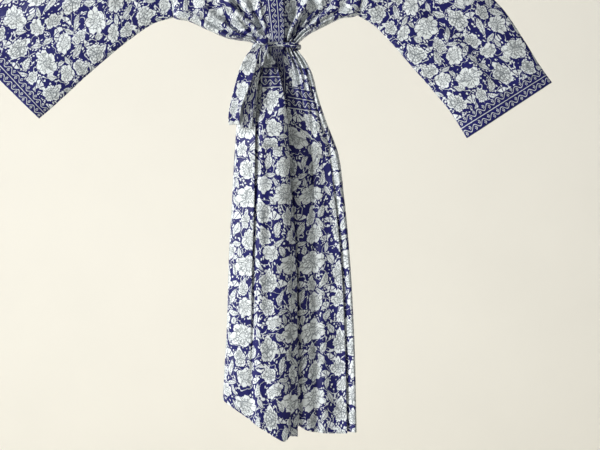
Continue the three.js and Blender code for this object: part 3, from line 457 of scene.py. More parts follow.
def pressed(points, creases, facing=-1):
    """Folds pressed into a grid of points, each from its row of CREASES. facing is the way out along y."""
    moved = points.copy()
    flat = points[..., [0, 2]]
    for height, width, taper, path in creases:
        path = np.array(path, float)
        legs = np.diff(path, axis=0)
        sizes = np.linalg.norm(legs, axis=1)
        starts = np.concatenate([[0], np.cumsum(sizes)])
        best = np.full(flat.shape[:2], 1e9)
        along = np.zeros(flat.shape[:2])
        for start, leg, size, before in zip(path, legs, sizes, starts):
            share = np.clip(((flat - start) @ leg) / size**2, 0, 1)
            gap = np.linalg.norm(flat - start - share[..., None] * leg, axis=-1)
            nearer = gap < best
            best = np.where(nearer, gap, best)
            along = np.where(nearer, before + share * size, along)
        ends = smooth(along / taper) * smooth((starts[-1] - along) / taper)
        moved[..., 1] += facing * height * ends * np.exp(-((best / width) ** 2))
    return moved


def flat_chart(across, up):
    """The print's place at each point of a grid, from how far across and how far up the flat cloth it is."""
    return np.stack(np.broadcast_arrays(across, up), axis=-1)


def cloth(name, points, chart, outwards, thick, closed=False, slots=None):
    """A cloth piece from a grid of points. The chart is its print's places, with one more column where the
    grid closes on itself. outwards is a direction, or None where the outer side is away from the axis. slots
    gives each row's cotton: 0 printed, 1 border."""
    rows, columns = points.shape[:2]
    index = np.arange(rows * columns).reshape(rows, columns)
    if closed:
        index = np.concatenate([index, index[:, :1]], axis=1)
    corners = (np.s_[:-1, :-1], np.s_[1:, :-1], np.s_[1:, 1:], np.s_[:-1, 1:])
    faces = np.stack([index[c] for c in corners], axis=-1).reshape(-1, 4)
    uv = np.stack([chart[c] for c in corners], axis=-2).reshape(-1, 4, 2)
    flat = points.reshape(-1, 3)
    a, b, c = (flat[faces[:, k]] for k in (0, 1, 2))
    square = np.cross(b - a, c - b)
    away = np.asarray(outwards, float) if outwards is not None else a - np.repeat(
        points.mean(axis=1, keepdims=True), index.shape[1] - 1, axis=1
    )[:-1].reshape(-1, 3)
    if (square * away).sum() < 0:
        faces, uv = faces[:, ::-1], uv[:, ::-1]
    mesh = bpy.data.meshes.new(name)
    mesh.from_pydata((flat * MM).tolist(), [], faces.tolist())
    layer = mesh.uv_layers.new(name="cloth")
    layer.data.foreach_set("uv", (uv * MM).ravel())
    if slots is not None:
        mesh.polygons.foreach_set("material_index", np.repeat(slots, index.shape[1] - 1))
    mesh.polygons.foreach_set("use_smooth", [True] * len(mesh.polygons))
    piece = bpy.data.objects.new(name, mesh)
    bpy.context.collection.objects.link(piece)
    materials = fabrics()
    for material in materials:
        mesh.materials.append(material)
    wall = piece.modifiers.new("wall", "SOLIDIFY")
    wall.thickness = thick
    wall.offset = 0
    wall.material_offset = wall.material_offset_rim = len(materials) // 2
    bpy.ops.object.select_all(action="DESELECT")
    piece.select_set(True)
    bpy.context.view_layer.objects.active = piece
    bpy.ops.object.modifier_apply(modifier="wall")
    return piece


def settle(piece, node):
    """Hangs the piece with the rest, and hides the imported part that it takes the place of."""
    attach(piece, "root")
    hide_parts(node)


# Materials


def add(tree, kind, *values, out=0, sockets=None, **settings):
    """Adds a node, sets its properties, fills its sockets in order or by name, and returns an output."""
    node = tree.nodes.new("ShaderNode" + kind)
    for name, value in settings.items():
        setattr(node, name, value)
    for socket, value in [*enumerate(values), *(sockets or {}).items()]:
        if isinstance(value, bpy.types.NodeSocket):
            tree.links.new(value, node.inputs[socket])
        elif value is not None:
            node.inputs[socket].default_value = value
    return node.outputs[out]


def work(tree, known, steps):
    """Works a list of sums: the name of each result, its operation, and what it is worked from."""
    for name, operation, *parts in steps:
        values = [known[part] if isinstance(part, str) else part for part in parts]
        known[name] = add(tree, "Math", *values, operation=operation)
    return known


def open_group(name, *results):
    """A new node group that works from a place, and that place."""
    tree = bpy.data.node_groups.new(name, "ShaderNodeTree")
    tree.interface.new_socket("At", in_out="INPUT", socket_type="NodeSocketVector")
    for result in results:
        tree.interface.new_socket(result, in_out="OUTPUT", socket_type="NodeSocketFloat")
    return tree, tree.nodes.new("NodeGroupInput").outputs[0]


def close_group(tree, *values):
    """Gives a node group its results, in the order of their names."""
    end = tree.nodes.new("NodeGroupOutput")
    for value, socket in zip(values, end.inputs):
        tree.links.new(value, socket)
    return tree


def motif(name, steps):
    """A flower or leaf of radius 1: how far inside it a place is, and how dark its lines are there."""
    tree, place = open_group(name, "Inside", "Line")
    split = add(tree, "SeparateXYZ", place).node
    known = {"x": split.outputs[0], "y": split.outputs[1]}
    known["r"] = add(tree, "VectorMath", place, operation="LENGTH", out="Value")
    work(tree, known, steps)
    return close_group(tree, known["inside"], known["line"])


# What the motifs share: the outlines of the inner petals and the heart, strokes, and ink kept inside.
RINGS = (
    ("to inner", "SUBTRACT", "r", "inner edge"), ("to inner gap", "ABSOLUTE", "to inner"),
    ("to heart", "SUBTRACT", "r", "heart edge"), ("to heart gap", "ABSOLUTE", "to heart"),
    ("nearest ring", "MINIMUM", "to inner gap", "to heart gap"), ("petal gap", "MULTIPLY", "lobes", "r"),
    ("stroke turn", "MULTIPLY", "angle", 13), ("stroke wave", "SINE", "stroke turn"),
)
INKED = (("within", "GREATER_THAN", "inside", 0.0), ("line", "MULTIPLY", "all lines", "within"))
# A peony: seven broad outer petals, five inner ones and a heart of fine strokes.
PEONY = (
    ("angle", "ARCTAN2", "y", "x"),
    ("outer turn", "MULTIPLY", "angle", 3.5), ("outer wave", "SINE", "outer turn"),
    ("lobes", "ABSOLUTE", "outer wave"), ("full", "POWER", "lobes", 0.6),
    ("rag turn", "MULTIPLY", "angle", 23), ("rag", "SINE", "rag turn"),
    ("edge", "MULTIPLY_ADD", "full", 0.24, 0.73), ("edge rag", "MULTIPLY_ADD", "rag", 0.022, "edge"),
    ("inside", "SUBTRACT", "edge rag", "r"),
    ("inner turn", "MULTIPLY", "angle", 2.5), ("inner wave", "COSINE", "inner turn"),
    ("inner lobes", "ABSOLUTE", "inner wave"), ("inner edge", "MULTIPLY_ADD", "inner lobes", 0.2, 0.34),
    ("heart turn", "MULTIPLY", "angle", 1.5), ("heart wave", "SINE", "heart turn"),
    ("heart lobes", "ABSOLUTE", "heart wave"), ("heart edge", "MULTIPLY_ADD", "heart lobes", 0.14, 0.12),
    *RINGS, ("ring", "LESS_THAN", "nearest ring", 0.022), ("between", "LESS_THAN", "petal gap", 0.075),
    ("beyond", "GREATER_THAN", "to inner", 0.0), ("split", "MULTIPLY", "between", "beyond"),
    ("stroke", "GREATER_THAN", "stroke wave", 0.45), ("short", "LESS_THAN", "to inner", 0.16),
    ("hatch", "MULTIPLY", "stroke", "short"), ("faint", "MULTIPLY", "hatch", 0.8),
    ("lines", "MAXIMUM", "ring", "split"), ("all lines", "MAXIMUM", "lines", "faint"), *INKED,
)
# A flower in bud: a pointed crown over five broad petals, with a second row inside them.
CROWN = (
    ("angle", "ARCTAN2", "x", "y"), ("size", "ABSOLUTE", "angle"),
    ("peak", "MULTIPLY_ADD", "size", -1.6, 0.62), ("crown", "MAXIMUM", "peak", 0.0),
    ("outer turn", "MULTIPLY", "angle", 2.5), ("outer wave", "COSINE", "outer turn"),
    ("lobes", "ABSOLUTE", "outer wave"), ("edge", "MULTIPLY_ADD", "lobes", 0.2, 0.66),
    ("crowned", "MULTIPLY_ADD", "crown", 0.4, "edge"), ("rag turn", "MULTIPLY", "angle", 19),
    ("rag", "SINE", "rag turn"), ("edge rag", "MULTIPLY_ADD", "rag", 0.035, "crowned"),
    ("inside", "SUBTRACT", "edge rag", "r"),
    ("inner edge", "MULTIPLY", "crowned", 0.66), ("heart edge", "MULTIPLY", "crowned", 0.33),
    *RINGS, ("ring", "LESS_THAN", "nearest ring", 0.03), ("between", "LESS_THAN", "petal gap", 0.08),
    ("stroke", "GREATER_THAN", "stroke wave", 0.35), ("short", "LESS_THAN", "to inner", 0.14),
    ("hatch", "MULTIPLY", "stroke", "short"), ("faint", "MULTIPLY", "hatch", 0.6),
    ("lines", "MAXIMUM", "ring", "between"), ("all lines", "MAXIMUM", "lines", "faint"), *INKED,
)
# A leaf along x with a toothed edge, a middle vein and slanting ribs.
LEAF = (
    ("xx", "MULTIPLY", "x", "x"), ("round", "SUBTRACT", 1.0, "xx"), ("lean", "MULTIPLY_ADD", "x", -0.25, 1.0),
    ("lean cut", "MAXIMUM", "lean", 0.4), ("half", "MULTIPLY", "round", "lean cut"),
    ("saw turn", "MULTIPLY", "x", 19), ("saw", "SINE", "saw turn"),
    ("ragged", "MULTIPLY_ADD", "saw", 0.05, "half"), ("y size", "ABSOLUTE", "y"),
    ("inside", "SUBTRACT", "ragged", "y size"), ("vein", "LESS_THAN", "y size", 0.1),
    ("slant", "MULTIPLY_ADD", "y size", -8, 0.0), ("stroke turn", "MULTIPLY_ADD", "x", 20, "slant"),
    ("stroke wave", "SINE", "stroke turn"), ("stroke", "GREATER_THAN", "stroke wave", 0.5),
    ("faint", "MULTIPLY", "stroke", 0.7), ("all lines", "MAXIMUM", "vein", "faint"), *INKED,
)
# A sprig: rays with round ends that open upwards from a short stem.
SPRIG = (
    ("low y", "ADD", "y", 0.75), ("angle", "ARCTAN2", "x", "low y"),
    ("xx", "MULTIPLY", "x", "x"), ("yy", "MULTIPLY", "low y", "low y"), ("rr", "ADD", "xx", "yy"),
    ("reach", "SQRT", "rr"), ("turn", "MULTIPLY", "angle", 4), ("wave", "COSINE", "turn"),
    ("lobes", "ABSOLUTE", "wave"), ("widening", "MULTIPLY_ADD", "reach", 0.35, -0.75),
    ("ray", "ADD", "lobes", "widening"), ("ray depth", "MULTIPLY", "ray", 0.5),
    ("to end", "SUBTRACT", 1.5, "reach"), ("to start", "SUBTRACT", "reach", 0.3),
    ("angle size", "ABSOLUTE", "angle"), ("spread", "SUBTRACT", 1.15, "angle size"),
    ("ends", "MINIMUM", "to end", "to start"), ("fan", "MINIMUM", "ends", "spread"),
    ("inside", "MINIMUM", "fan", "ray depth"), ("line", "MULTIPLY", "inside", 0.0),
)
MOTIFS = {"peony": PEONY, "crown": CROWN, "leaf": LEAF, "sprig": SPRIG}

# The print's repeat, charted one by one: motif, place in it, turn in degrees, half width and half height.
TILE = (126, 157)
CHART = (
    ("peony", 86, 114, 8, 33, 26), ("crown", 27, 80, 4, 23, 30), ("peony", 36, 142, 40, 20, 17),
    ("crown", 82, 62, -6, 16, 21), ("crown", 24, 24, 12, 19, 25), ("peony", 92, 20, 70, 24, 19),
    ("leaf", 58, 40, 72, 20, 7), ("leaf", 52, 106, 118, 14, 6), ("leaf", 113, 74, 60, 19, 7),
    ("leaf", 106, 46, 130, 15, 6), ("leaf", 4, 118, -60, 15, 6), ("leaf", 63, 146, 100, 12, 5),
    ("leaf", 122, 148, 80, 14, 5.5), ("leaf", 58, 6, 15, 14, 5.5), ("sprig", 54, 70, -10, 11, 11),
    ("sprig", 119, 12, 30, 10, 10), ("sprig", 4, 50, -30, 10, 10),
)
DOT_SPACING = 8.5
DOT_RADIUS = 0.24
LEAFLET_SPACING = 12
LEAFLET_RADIUS = 0.26
TENDRIL_SCALE = 30
PETAL_SPACING = 17
SOFT_EDGE = 0.6
BLOCK_WANDER = (3.4, 3.4, 0)
FLOWER_DRIFT = (14, 14, 0)
BORDER_WANDER = (1.4, 1.4, 0)


def print_group(motifs):
    """The whole print: how pale the cloth is, and how dark the line-work is, at a place in millimetres."""
    tree, start = open_group("block print", "Pale", "Line")
    # The cut edges of the wooden blocks wander by about a millimetre.
    wander = add(tree, "TexNoise", start, None, 0.16, 1.0, out="Color")
    wander = add(tree, "VectorMath", wander, (0.5, 0.5, 0.5), operation="SUBTRACT")
    wander = add(tree, "VectorMath", wander, BLOCK_WANDER, start, operation="MULTIPLY_ADD")
    # No two flowers are drawn alike.
    drift = add(tree, "TexNoise", start, None, 0.035, 0.0, out="Color")
    drift = add(tree, "VectorMath", drift, (0.5, 0.5, 0.5), operation="SUBTRACT")
    wander = add(tree, "VectorMath", drift, FLOWER_DRIFT, wander, operation="MULTIPLY_ADD")
    half = (TILE[0] / 2, TILE[1] / 2, 1e6)
    inside = line = None
    for kind, x, y, turn, wide, high in CHART:
        place = add(tree, "VectorMath", wander, (x, y, 0), operation="SUBTRACT")
        place = add(tree, "VectorMath", place, half, tuple(-h for h in half), operation="WRAP")
        spin = (0, 0, math.radians(turn))
        place = add(tree, "Mapping", place, None, spin, (wide, high, 1), vector_type="TEXTURE")
        drawn = add(tree, "Group", node_tree=motifs[kind]).node
        tree.links.new(place, drawn.inputs[0])
        depth = add(tree, "Math", drawn.outputs[0], float(min(wide, high)), operation="MULTIPLY")
        inside = depth if inside is None else add(tree, "Math", inside, depth, operation="MAXIMUM")
        inked = drawn.outputs[1]
        line = inked if line is None else add(tree, "Math", line, inked, operation="MAXIMUM")
    # Small petals crowd each flower; buds, leaflets and thin tendrils fill the ground between.
    slant = add(tree, "Mapping", wander, None, (0, 0, 0.7), (1, 0.5, 1))
    spots = {"out": "Distance", "sockets": {"Randomness": 0.8}}
    known = {
        "inside": inside, "drawn": line,
        "petals": add(
            tree, "TexVoronoi", wander, None, 1 / PETAL_SPACING, feature="DISTANCE_TO_EDGE", out="Distance"
        ),
        "seeds": add(tree, "TexVoronoi", wander, None, 1 / DOT_SPACING, **spots),
        "blades": add(tree, "TexVoronoi", slant, None, 2 / LEAFLET_SPACING, out="Distance"),
        "curls": add(tree, "TexNoise", wander, None, 1 / TENDRIL_SCALE, 1.0, out="Fac"),
    }
    work(tree, known, (
        ("petal edge", "LESS_THAN", "petals", 0.034), ("deep", "GREATER_THAN", "inside", 1.6),
        ("petal line", "MULTIPLY", "petal edge", "deep"), ("petal faint", "MULTIPLY", "petal line", 0.8),
        ("line", "MAXIMUM", "drawn", "petal faint"), ("clear", "LESS_THAN", "inside", -1.5),
        ("seed", "SUBTRACT", DOT_RADIUS, "seeds"), ("seed size", "MULTIPLY", "seed", DOT_SPACING),
        ("blade", "SUBTRACT", LEAFLET_RADIUS, "blades"), ("blade size", "MULTIPLY", "blade", LEAFLET_SPACING),
        ("curl", "SUBTRACT", "curls", 0.5), ("curl gap", "ABSOLUTE", "curl"),
        ("curl depth", "MULTIPLY_ADD", "curl gap", -60, 0.5),
        ("buds", "MAXIMUM", "seed size", "blade size"), ("fill", "MAXIMUM", "buds", "curl depth"),
        ("fill soft", "MULTIPLY_ADD", "fill", 1 / SOFT_EDGE, 0.5),
        ("fill cut", "MINIMUM", "fill soft", 1.0), ("fill low", "MAXIMUM", "fill cut", 0.0),
        ("filling", "MULTIPLY", "fill low", "clear"),
        ("soft", "MULTIPLY_ADD", "inside", 1 / SOFT_EDGE, 0.5), ("soft cut", "MINIMUM", "soft", 1.0),
        ("flower", "MAXIMUM", "soft cut", 0.0), ("pale", "MAXIMUM", "flower", "filling"),
    ))
    return close_group(tree, known["pale"], known["line"])


# The border: bands of a running scroll between pale lines.
BAND_STEP = 24
WAVE_LENGTH = 25
WAVE_HEIGHT = 5.0
CURL = 3.6


def border_group():
    """How pale the border is at a place in millimetres: x along it and y across it."""
    tree, start = open_group("scroll border", "Pale")
    wander = add(tree, "TexNoise", start, None, 0.3, 1.0, out="Color")
    wander = add(tree, "VectorMath", wander, (0.5, 0.5, 0.5), operation="SUBTRACT")
    wander = add(tree, "VectorMath", wander, BORDER_WANDER, start, operation="MULTIPLY_ADD")
    split = add(tree, "SeparateXYZ", wander).node
    known = work(tree, {"along": split.outputs[0], "across": split.outputs[1]}, (
        ("band", "WRAP", "across", BAND_STEP / 2, -BAND_STEP / 2), ("off", "ABSOLUTE", "band"),
        # The lines at a band's edges lie on the wrap, where off is small.
        ("edge", "SUBTRACT", 0.9, "off"),
        ("mid", "SUBTRACT", "across", BAND_STEP / 2), ("row", "WRAP", "mid", BAND_STEP / 2, -BAND_STEP / 2),
        ("turn", "MULTIPLY", "along", 2 * math.pi / WAVE_LENGTH), ("wave", "SINE", "turn"),
        ("height", "MULTIPLY", "wave", WAVE_HEIGHT), ("to wave", "SUBTRACT", "row", "height"),
        ("wave gap", "ABSOLUTE", "to wave"), ("wave depth", "SUBTRACT", 1.0, "wave gap"),
        # Curls sit in the wave's hollows, on alternate sides.
        ("quarter", "ADD", "along", WAVE_LENGTH / 4),
        ("cell", "WRAP", "quarter", WAVE_LENGTH / 4, -WAVE_LENGTH / 4), ("side", "SIGN", "wave"),
        ("curl row", "MULTIPLY", "side", -CURL), ("down", "SUBTRACT", "row", "curl row"),
        ("cc", "MULTIPLY", "cell", "cell"), ("dd", "MULTIPLY", "down", "down"), ("rr", "ADD", "cc", "dd"),
        ("reach", "SQRT", "rr"), ("to ring", "SUBTRACT", "reach", CURL), ("ring gap", "ABSOLUTE", "to ring"),
        ("whole ring", "SUBTRACT", 0.7, "ring gap"), ("ring", "MINIMUM", "whole ring", "cell"),
        ("dot", "SUBTRACT", 1.5, "reach"),
        ("a", "MAXIMUM", "edge", "wave depth"), ("b", "MAXIMUM", "dot", "ring"), ("c", "MAXIMUM", "a", "b"),
        ("soft", "MULTIPLY_ADD", "c", 1 / SOFT_EDGE, 0.5), ("cut", "MINIMUM", "soft", 1.0),
        ("pale", "MAXIMUM", "cut", 0.0),
    ))
    return close_group(tree, known["pale"])


def new_finish(name):
    """A new material, its nodes and its shader."""
    material = bpy.data.materials.new(name)
    material.use_nodes = True
    return material, material.node_tree, material.node_tree.nodes["Principled BSDF"]


def between(colour, low, high):
    """The ends of a mix: a colour made darker and lighter, by shares of it."""
    return {name: (*(min(c * share, 1) for c in colour), 1) for name, share in (("A", low), ("B", high))}


def cotton(name, sizes, colours, pattern, is_border, bleached=0.0):
    """Plain-weave cotton, block-printed and starched: matt, with a broad soft gloss where it faces the light.
    The wrong side is paler, because only part of the dye comes through."""
    material, tree, shader = new_finish(name)
    chart = add(tree, "UVMap", out="UV", uv_map="cloth")
    place = add(tree, "VectorMath", chart, sockets={"Scale": TILE[1] / sizes.repeat}, operation="SCALE")
    group = add(tree, "Group", node_tree=pattern).node
    tree.links.new(place, group.inputs[0])
    # Dye takes unevenly over a hand's breadth.
    patchy = add(tree, "TexNoise", place, None, 0.03, 3.0, out="Fac")
    mix_of = {"data_type": "RGBA", "out": "Result"}
    dye = add(tree, "Mix", patchy, **mix_of, sockets=between(colours.indigo, 0.75, 1.3))
    if is_border:
        flowers = (*(c * 0.8 for c in colours.pale), 1)
    else:
        shade = add(tree, "Math", group.outputs[1], 0.8, operation="MULTIPLY")
        ends = {"A": (*colours.pale, 1), "B": (*colours.line, 1)}
        flowers = add(tree, "Mix", shade, **mix_of, sockets=ends)
    printed = add(tree, "Mix", group.outputs[0], **mix_of, sockets={"A": dye, "B": flowers})
    if bleached:
        bare = (*(c * 0.75 for c in colours.pale), 1)
        printed = add(tree, "Mix", bleached, **mix_of, sockets={"A": printed, "B": bare})
    tree.links.new(printed, shader.inputs["Base Color"])
    shader.inputs["Roughness"].default_value = 0.45
    shader.inputs["Specular IOR Level"].default_value = 0.2
    shader.inputs["Sheen Weight"].default_value = 0.03
    # The real threads are a third of a millimetre apart, too fine to show, so they are drawn at a millimetre.
    threads = add(tree, "TexChecker", place, sockets={"Scale": 1.0}, out="Fac")
    crumple = add(tree, "TexNoise", place, None, 0.05, 4.0, out="Fac")
    bump = None
    for height, strength, deep in ((threads, 0.25, 0.0002), (crumple, 0.6, 0.003)):
        sockets = {"Strength": strength, "Distance": deep, "Height": height, "Normal": bump}
        bump = add(tree, "Bump", out="Normal", sockets=sockets)
    tree.links.new(bump, shader.inputs["Normal"])
    return material


def birch(colours):
    """Birch, turned and sanded, under clear satin varnish: pale, with long brown grain lines."""
    material, tree, shader = new_finish("varnished birch")
    place = add(tree, "TexCoord", out="Object")
    long = add(tree, "Mapping", place, None, None, (30, 600, 600))
    grain = add(tree, "TexNoise", long, None, 1.0, 4.0, out="Fac", sockets={"Distortion": 0.6})
    ends = between(colours.birch, 0.62, 1.25)
    tone = add(tree, "Mix", grain, data_type="RGBA", out="Result", sockets=ends)
    tree.links.new(tone, shader.inputs["Base Color"])
    shader.inputs["Roughness"].default_value = 0.42
    shader.inputs["Coat Weight"].default_value = 0.3
    shader.inputs["Coat Roughness"].default_value = 0.2
    bump = add(tree, "Bump", out="Normal", sockets={"Strength": 0.3, "Distance": 0.0004, "Height": grain})
    tree.links.new(bump, shader.inputs["Normal"])
    return material


def plated_wire():
    """Steel wire under bright nickel: a mirror with faint marks drawn along it."""
    material, tree, shader = new_finish("nickel-plated steel")
    shader.inputs["Base Color"].default_value = (*linear("#c9cbce"), 1)
    shader.inputs["Metallic"].default_value = 1
    place = add(tree, "TexCoord", out="Object")
    marks = add(tree, "TexNoise", place, None, 900, 3.0, out="Fac")
    rough = add(tree, "MapRange", marks, 0.0, 1.0, 0.2, 0.38)
    tree.links.new(rough, shader.inputs["Roughness"])
    return material


def painted_wall(colours):
    """Emulsion paint, rolled on: matt, with a faint stipple and slow changes of tone."""
    material, tree, shader = new_finish("emulsion paint")
    place = add(tree, "TexCoord", out="Object")
    cloud = add(tree, "TexNoise", place, None, 1.4, 4.0, out="Fac")
    ends = between(colours.wall, 0.97, 1.02)
    tone = add(tree, "Mix", cloud, data_type="RGBA", out="Result", sockets=ends)
    tree.links.new(tone, shader.inputs["Base Color"])
    shader.inputs["Roughness"].default_value = 0.85
    stipple = add(tree, "TexNoise", place, None, 260, 3.0, out="Fac")
    bump = add(tree, "Bump", out="Normal", sockets={"Strength": 0.2, "Distance": 0.001, "Height": stipple})
    tree.links.new(bump, shader.inputs["Normal"])
    return material


# What more than one operator uses, made by the first that needs it.
_made = {}
BLEACHED = 0.45


def fabrics():
    """The cottons: printed and border, then the wrong side of each."""
    if "cottons" not in _made:
        sizes, colours = bpy.context.scene.robe_sizes, bpy.context.scene.robe_colours
        motifs = {name: motif(name, steps) for name, steps in MOTIFS.items()}
        floral, scroll = print_group(motifs), border_group()
        _made["cottons"] = [
            cotton(name, sizes, colours, scroll if is_border else floral, is_border, bleached)
            for name, is_border, bleached in (
                ("block-printed cotton", False, 0.0), ("border cotton", True, 0.0),
                ("printed cotton, wrong side", False, BLEACHED),
                ("border cotton, wrong side", True, BLEACHED),
            )
        ]
    return _made["cottons"]


# Creases pressed into the cloth: height outwards, half width, taper, and path in x and z.
CREASES = {
    "left": (
        (9, 5, 14, ((-116, -364), (-86, -398), (-58, -426), (-38, -446))),
        (-9, 5, 14, ((-104, -362), (-78, -391), (-50, -418), (-32, -436))),
        (-8, 6, 18, ((-117, -390), (-113, -412), (-78, -431), (-50, -448))),
        (-9, 4, 12, ((-64, -362), (-57, -385), (-44, -410), (-28, -441))),
        (4, 7, 15, ((-44, -366), (-36, -400), (-24, -440))),
        (-9, 12, 30, ((14, -330), (12, -390), (8, -430), (6, -452))),
        (-8, 3, 10, ((-30, -482), (-32, -500), (-34, -524))),
        (-8, 3, 10, ((-17, -482), (-16, -500), (-16, -526))),
        (-7, 2.5, 10, ((-4, -484), (-2, -504), (0, -530))),
        (5, 3, 10, ((6, -484), (9, -504), (11, -540))),
        (-13, 19, 90, ((40, -560), (44, -700), (48, -820), (50, -950), (52, -1180), (52, -1420))),
        (11, 36, 90, ((2, -540), (-2, -760), (-6, -950), (-10, -1180), (-12, -1420))),
        (-10, 26, 90, ((-92, -560), (-104, -760), (-110, -950), (-120, -1180), (-124, -1400))),
        (8, 15, 60, ((-34, -600), (-37, -760), (-40, -900), (-44, -1050), (-46, -1400))),
        (6, 24, 30, ((-104, -392), (-84, -412), (-60, -432))),
    ),
    "right": (
        (10, 6, 14, ((76, -362), (62, -385), (50, -403), (38, -426), (20, -458))),
        (-10, 5, 14, ((104, -372), (82, -388), (64, -408), (48, -431), (32, -458))),
        (-4, 3, 12, ((39, -373), (30, -396), (21, -417), (17, -430))),
        (4, 5, 16, ((130, -385), (100, -412), (74, -432), (52, -452))),
        (-7, 24, 70, ((34, -600), (36, -800), (42, -940), (48, -1080), (55, -1210), (58, -1400))),
        (-6, 4, 60, ((28, -740), (34, -860), (42, -960), (48, -1080), (52, -1200), (54, -1400))),
        (-24, 38, 90, ((84, -640), (102, -720), (116, -822), (128, -950), (138, -1110), (146, -1400))),
        (-10, 16, 90, ((60, -600), (70, -800), (80, -1000), (86, -1200), (88, -1400))),
        (-9, 18, 40, ((30, -340), (34, -380), (36, -410), (30, -440))),
        (-4, 5, 40, ((76, -560), (84, -680), (88, -800))),
        (-7, 9, 60, ((76, -640), (84, -800), (88, -950), (92, -1200), (94, -1400))),
    ),
    "back": (
        (4, 10, 60, ((-60, -560), (-66, -760), (-70, -1000))),
        (4, 10, 60, ((52, -560), (64, -760), (76, -1000))),
        (10, 38, 90, ((108, -640), (138, -712), (153, -822), (165, -950), (175, -1110), (182, -1400))),
    ),
    "sleeve_left": (
        (
            6, 11, 60,
            (
                (-690, -432), (-637, -412), (-568, -394), (-499, -385), (-465, -371), (-407, -369),
                (-300, -330),
            ),
        ),
        (-3, 12, 50, ((-640, -470), (-560, -450), (-470, -430), (-380, -400))),
        (3, 9, 40, ((-560, -520), (-490, -480), (-420, -440), (-330, -400))),
        (3, 10, 40, ((-560, -330), (-470, -300), (-380, -270))),
    ),
    "sleeve_right": (
        (
            6, 10, 50,
            ((300, -360), (310, -390), (352, -426), (409, -458), (444, -505), (478, -557), (513, -580)),
        ),
        (-3, 12, 40, ((330, -370), (400, -420), (460, -470), (500, -520))),
        (3, 9, 40, ((380, -330), (450, -390), (520, -450), (560, -500))),
        (2, 6, 30, ((605, -520), (550, -556), (500, -590), (452, -628))),
        (3, 9, 40, ((260, -400), (330, -450), (380, -520), (420, -600))),
    ),
}
# Slow waves all over the cloth: height, length, direction in degrees and phase.
WAVES = (
    (1.6, 190, 12, 0.4), (1.3, 137, 71, 2.1), (1.0, 96, -38, 4.0), (0.8, 71, 33, 1.2), (0.5, 47, -74, 5.1),
)
# Where they start and how fast, and the height, half width and edge of the band without them at the waist.
WAVES_FROM = (-150, 80)
WAVES_CLEAR = (-470, 30, 60)


def rumpled(points):
    """The same points, moved by the slow waves, which leave the shoulders and the waist alone."""
    x, z = points[..., 0], points[..., 2]
    start, fade = WAVES_FROM
    height, core, reach = WAVES_CLEAR
    share = smooth((start - z) / fade) * smooth((np.abs(z - height) - core) / reach)
    moved = points.copy()
    for high, long, heading, phase in WAVES:
        turn = math.radians(heading)
        along = x * math.cos(turn) + z * math.sin(turn)
        moved[..., 1] += high * share * np.sin(along * math.tau / long + phase)
    return moved


def panels():
    """The fine points of both fronts and the back, with the row of each section."""
    if "panels" not in _made:
        _made["panels"] = {}
        cuts = (("left", LEFT_SECTIONS, LEFT_TURNS), ("right", RIGHT_SECTIONS, RIGHT_TURNS))
        for side, sections, turns in cuts:
            lines = front_lines(sections, turns, ARMHOLE[side])
            points, kept = panel(lines, [-row[4] for row in sections], -1)
            _made["panels"][side] = rumpled(pressed(points, CREASES[side])), kept
        heights = [NECK_DIP - NECK_Z + row[1] for row in BACK_SECTIONS[:NECK_ROWS]]
        heights += [-row[1] for row in BACK_SECTIONS[NECK_ROWS:]]
        points, kept = panel(back_lines(), heights, 1)
        _made["panels"]["back"] = rumpled(pressed(points, CREASES["back"], 1)), kept
    return _made["panels"]


# The row of the section at the belt, from which the print is measured up and down.
WAIST_ROW = 12
TOWARDS_VIEWER = (0, -1, 0)
AWAY = (0, 1, 0)


class OBJECT_OT_robe_body(bpy.types.Operator):
    """Makes the two fronts and the back"""

    bl_idname = "object.robe_body"
    bl_label = "Body"

    # Width and length of each cut, and the area inside its slanting edges.
    CUTS = {"left": (0.3, 1.27, 0.26), "right": (0.3, 1.27, 0.24), "back": (0.58, 1.29, 0.48)}

    def execute(self, context):
        sizes = context.scene.robe_sizes
        for side, (points, kept) in panels().items():
            node = "back" if side == "back" else f"front_{side}"
            chart = chart_of(points, kept[WAIST_ROW], side != "back")
            if side == "right":
                chart[..., 0] *= -1
            outwards = AWAY if side == "back" else TOWARDS_VIEWER
            piece = cloth(f"{node}_cloth", points, chart, outwards, sizes.cloth)
            settle(piece, node)
        return {"FINISHED"}


class OBJECT_OT_robe_sleeves(bpy.types.Operator):
    """Makes the two open sleeves with their printed cuffs"""

    bl_idname = "object.robe_sleeves"
    bl_label = "Sleeves"

    # How finely a sleeve is made: rings along it, and columns from its upper fold to its lower edge.
    ROWS = 97
    HALF_ROUND = 30

    def execute(self, context):
        sizes = context.scene.robe_sizes
        count = 2 * self.HALF_ROUND
        shares = (1 + np.cos(np.linspace(0, 2 * math.pi, count, endpoint=False))) / 2
        front = np.where(np.arange(count) < self.HALF_ROUND, -1, 1)
        for side, rows in SLEEVES.items():
            rings = curve(range(len(rows)), rows, np.linspace(0, len(rows) - 1, self.ROWS))
            points = np.empty((self.ROWS, count, 3))
            for axis, (top, bottom) in enumerate(((0, 2), (1, 3))):
                points[..., 2 * axis] = mix(rings[:, top, None], rings[:, bottom, None], shares)
            points[..., 1] = rings[:, 5, None] + front * rings[:, 4, None] * lens(shares)
            points[0, :, 0] += SEAM * (-1 if side == "left" else 1)
            points = rumpled(pressed(points, CREASES[f"sleeve_{side}"]))
            along = lengths(points, 0).mean(axis=1)
            left = along[-1] - along
            chart = flat_chart(lengths(np.concatenate([points, points[:, :1]], axis=1), 1), left[:, None])
            slots = (left[:-1] < sizes.border / MM).astype(int)
            piece = cloth(f"sleeve_{side}_cloth", points, chart, None, sizes.cloth, True, slots)
            settle(piece, f"sleeve_{side}")
        return {"FINISHED"}


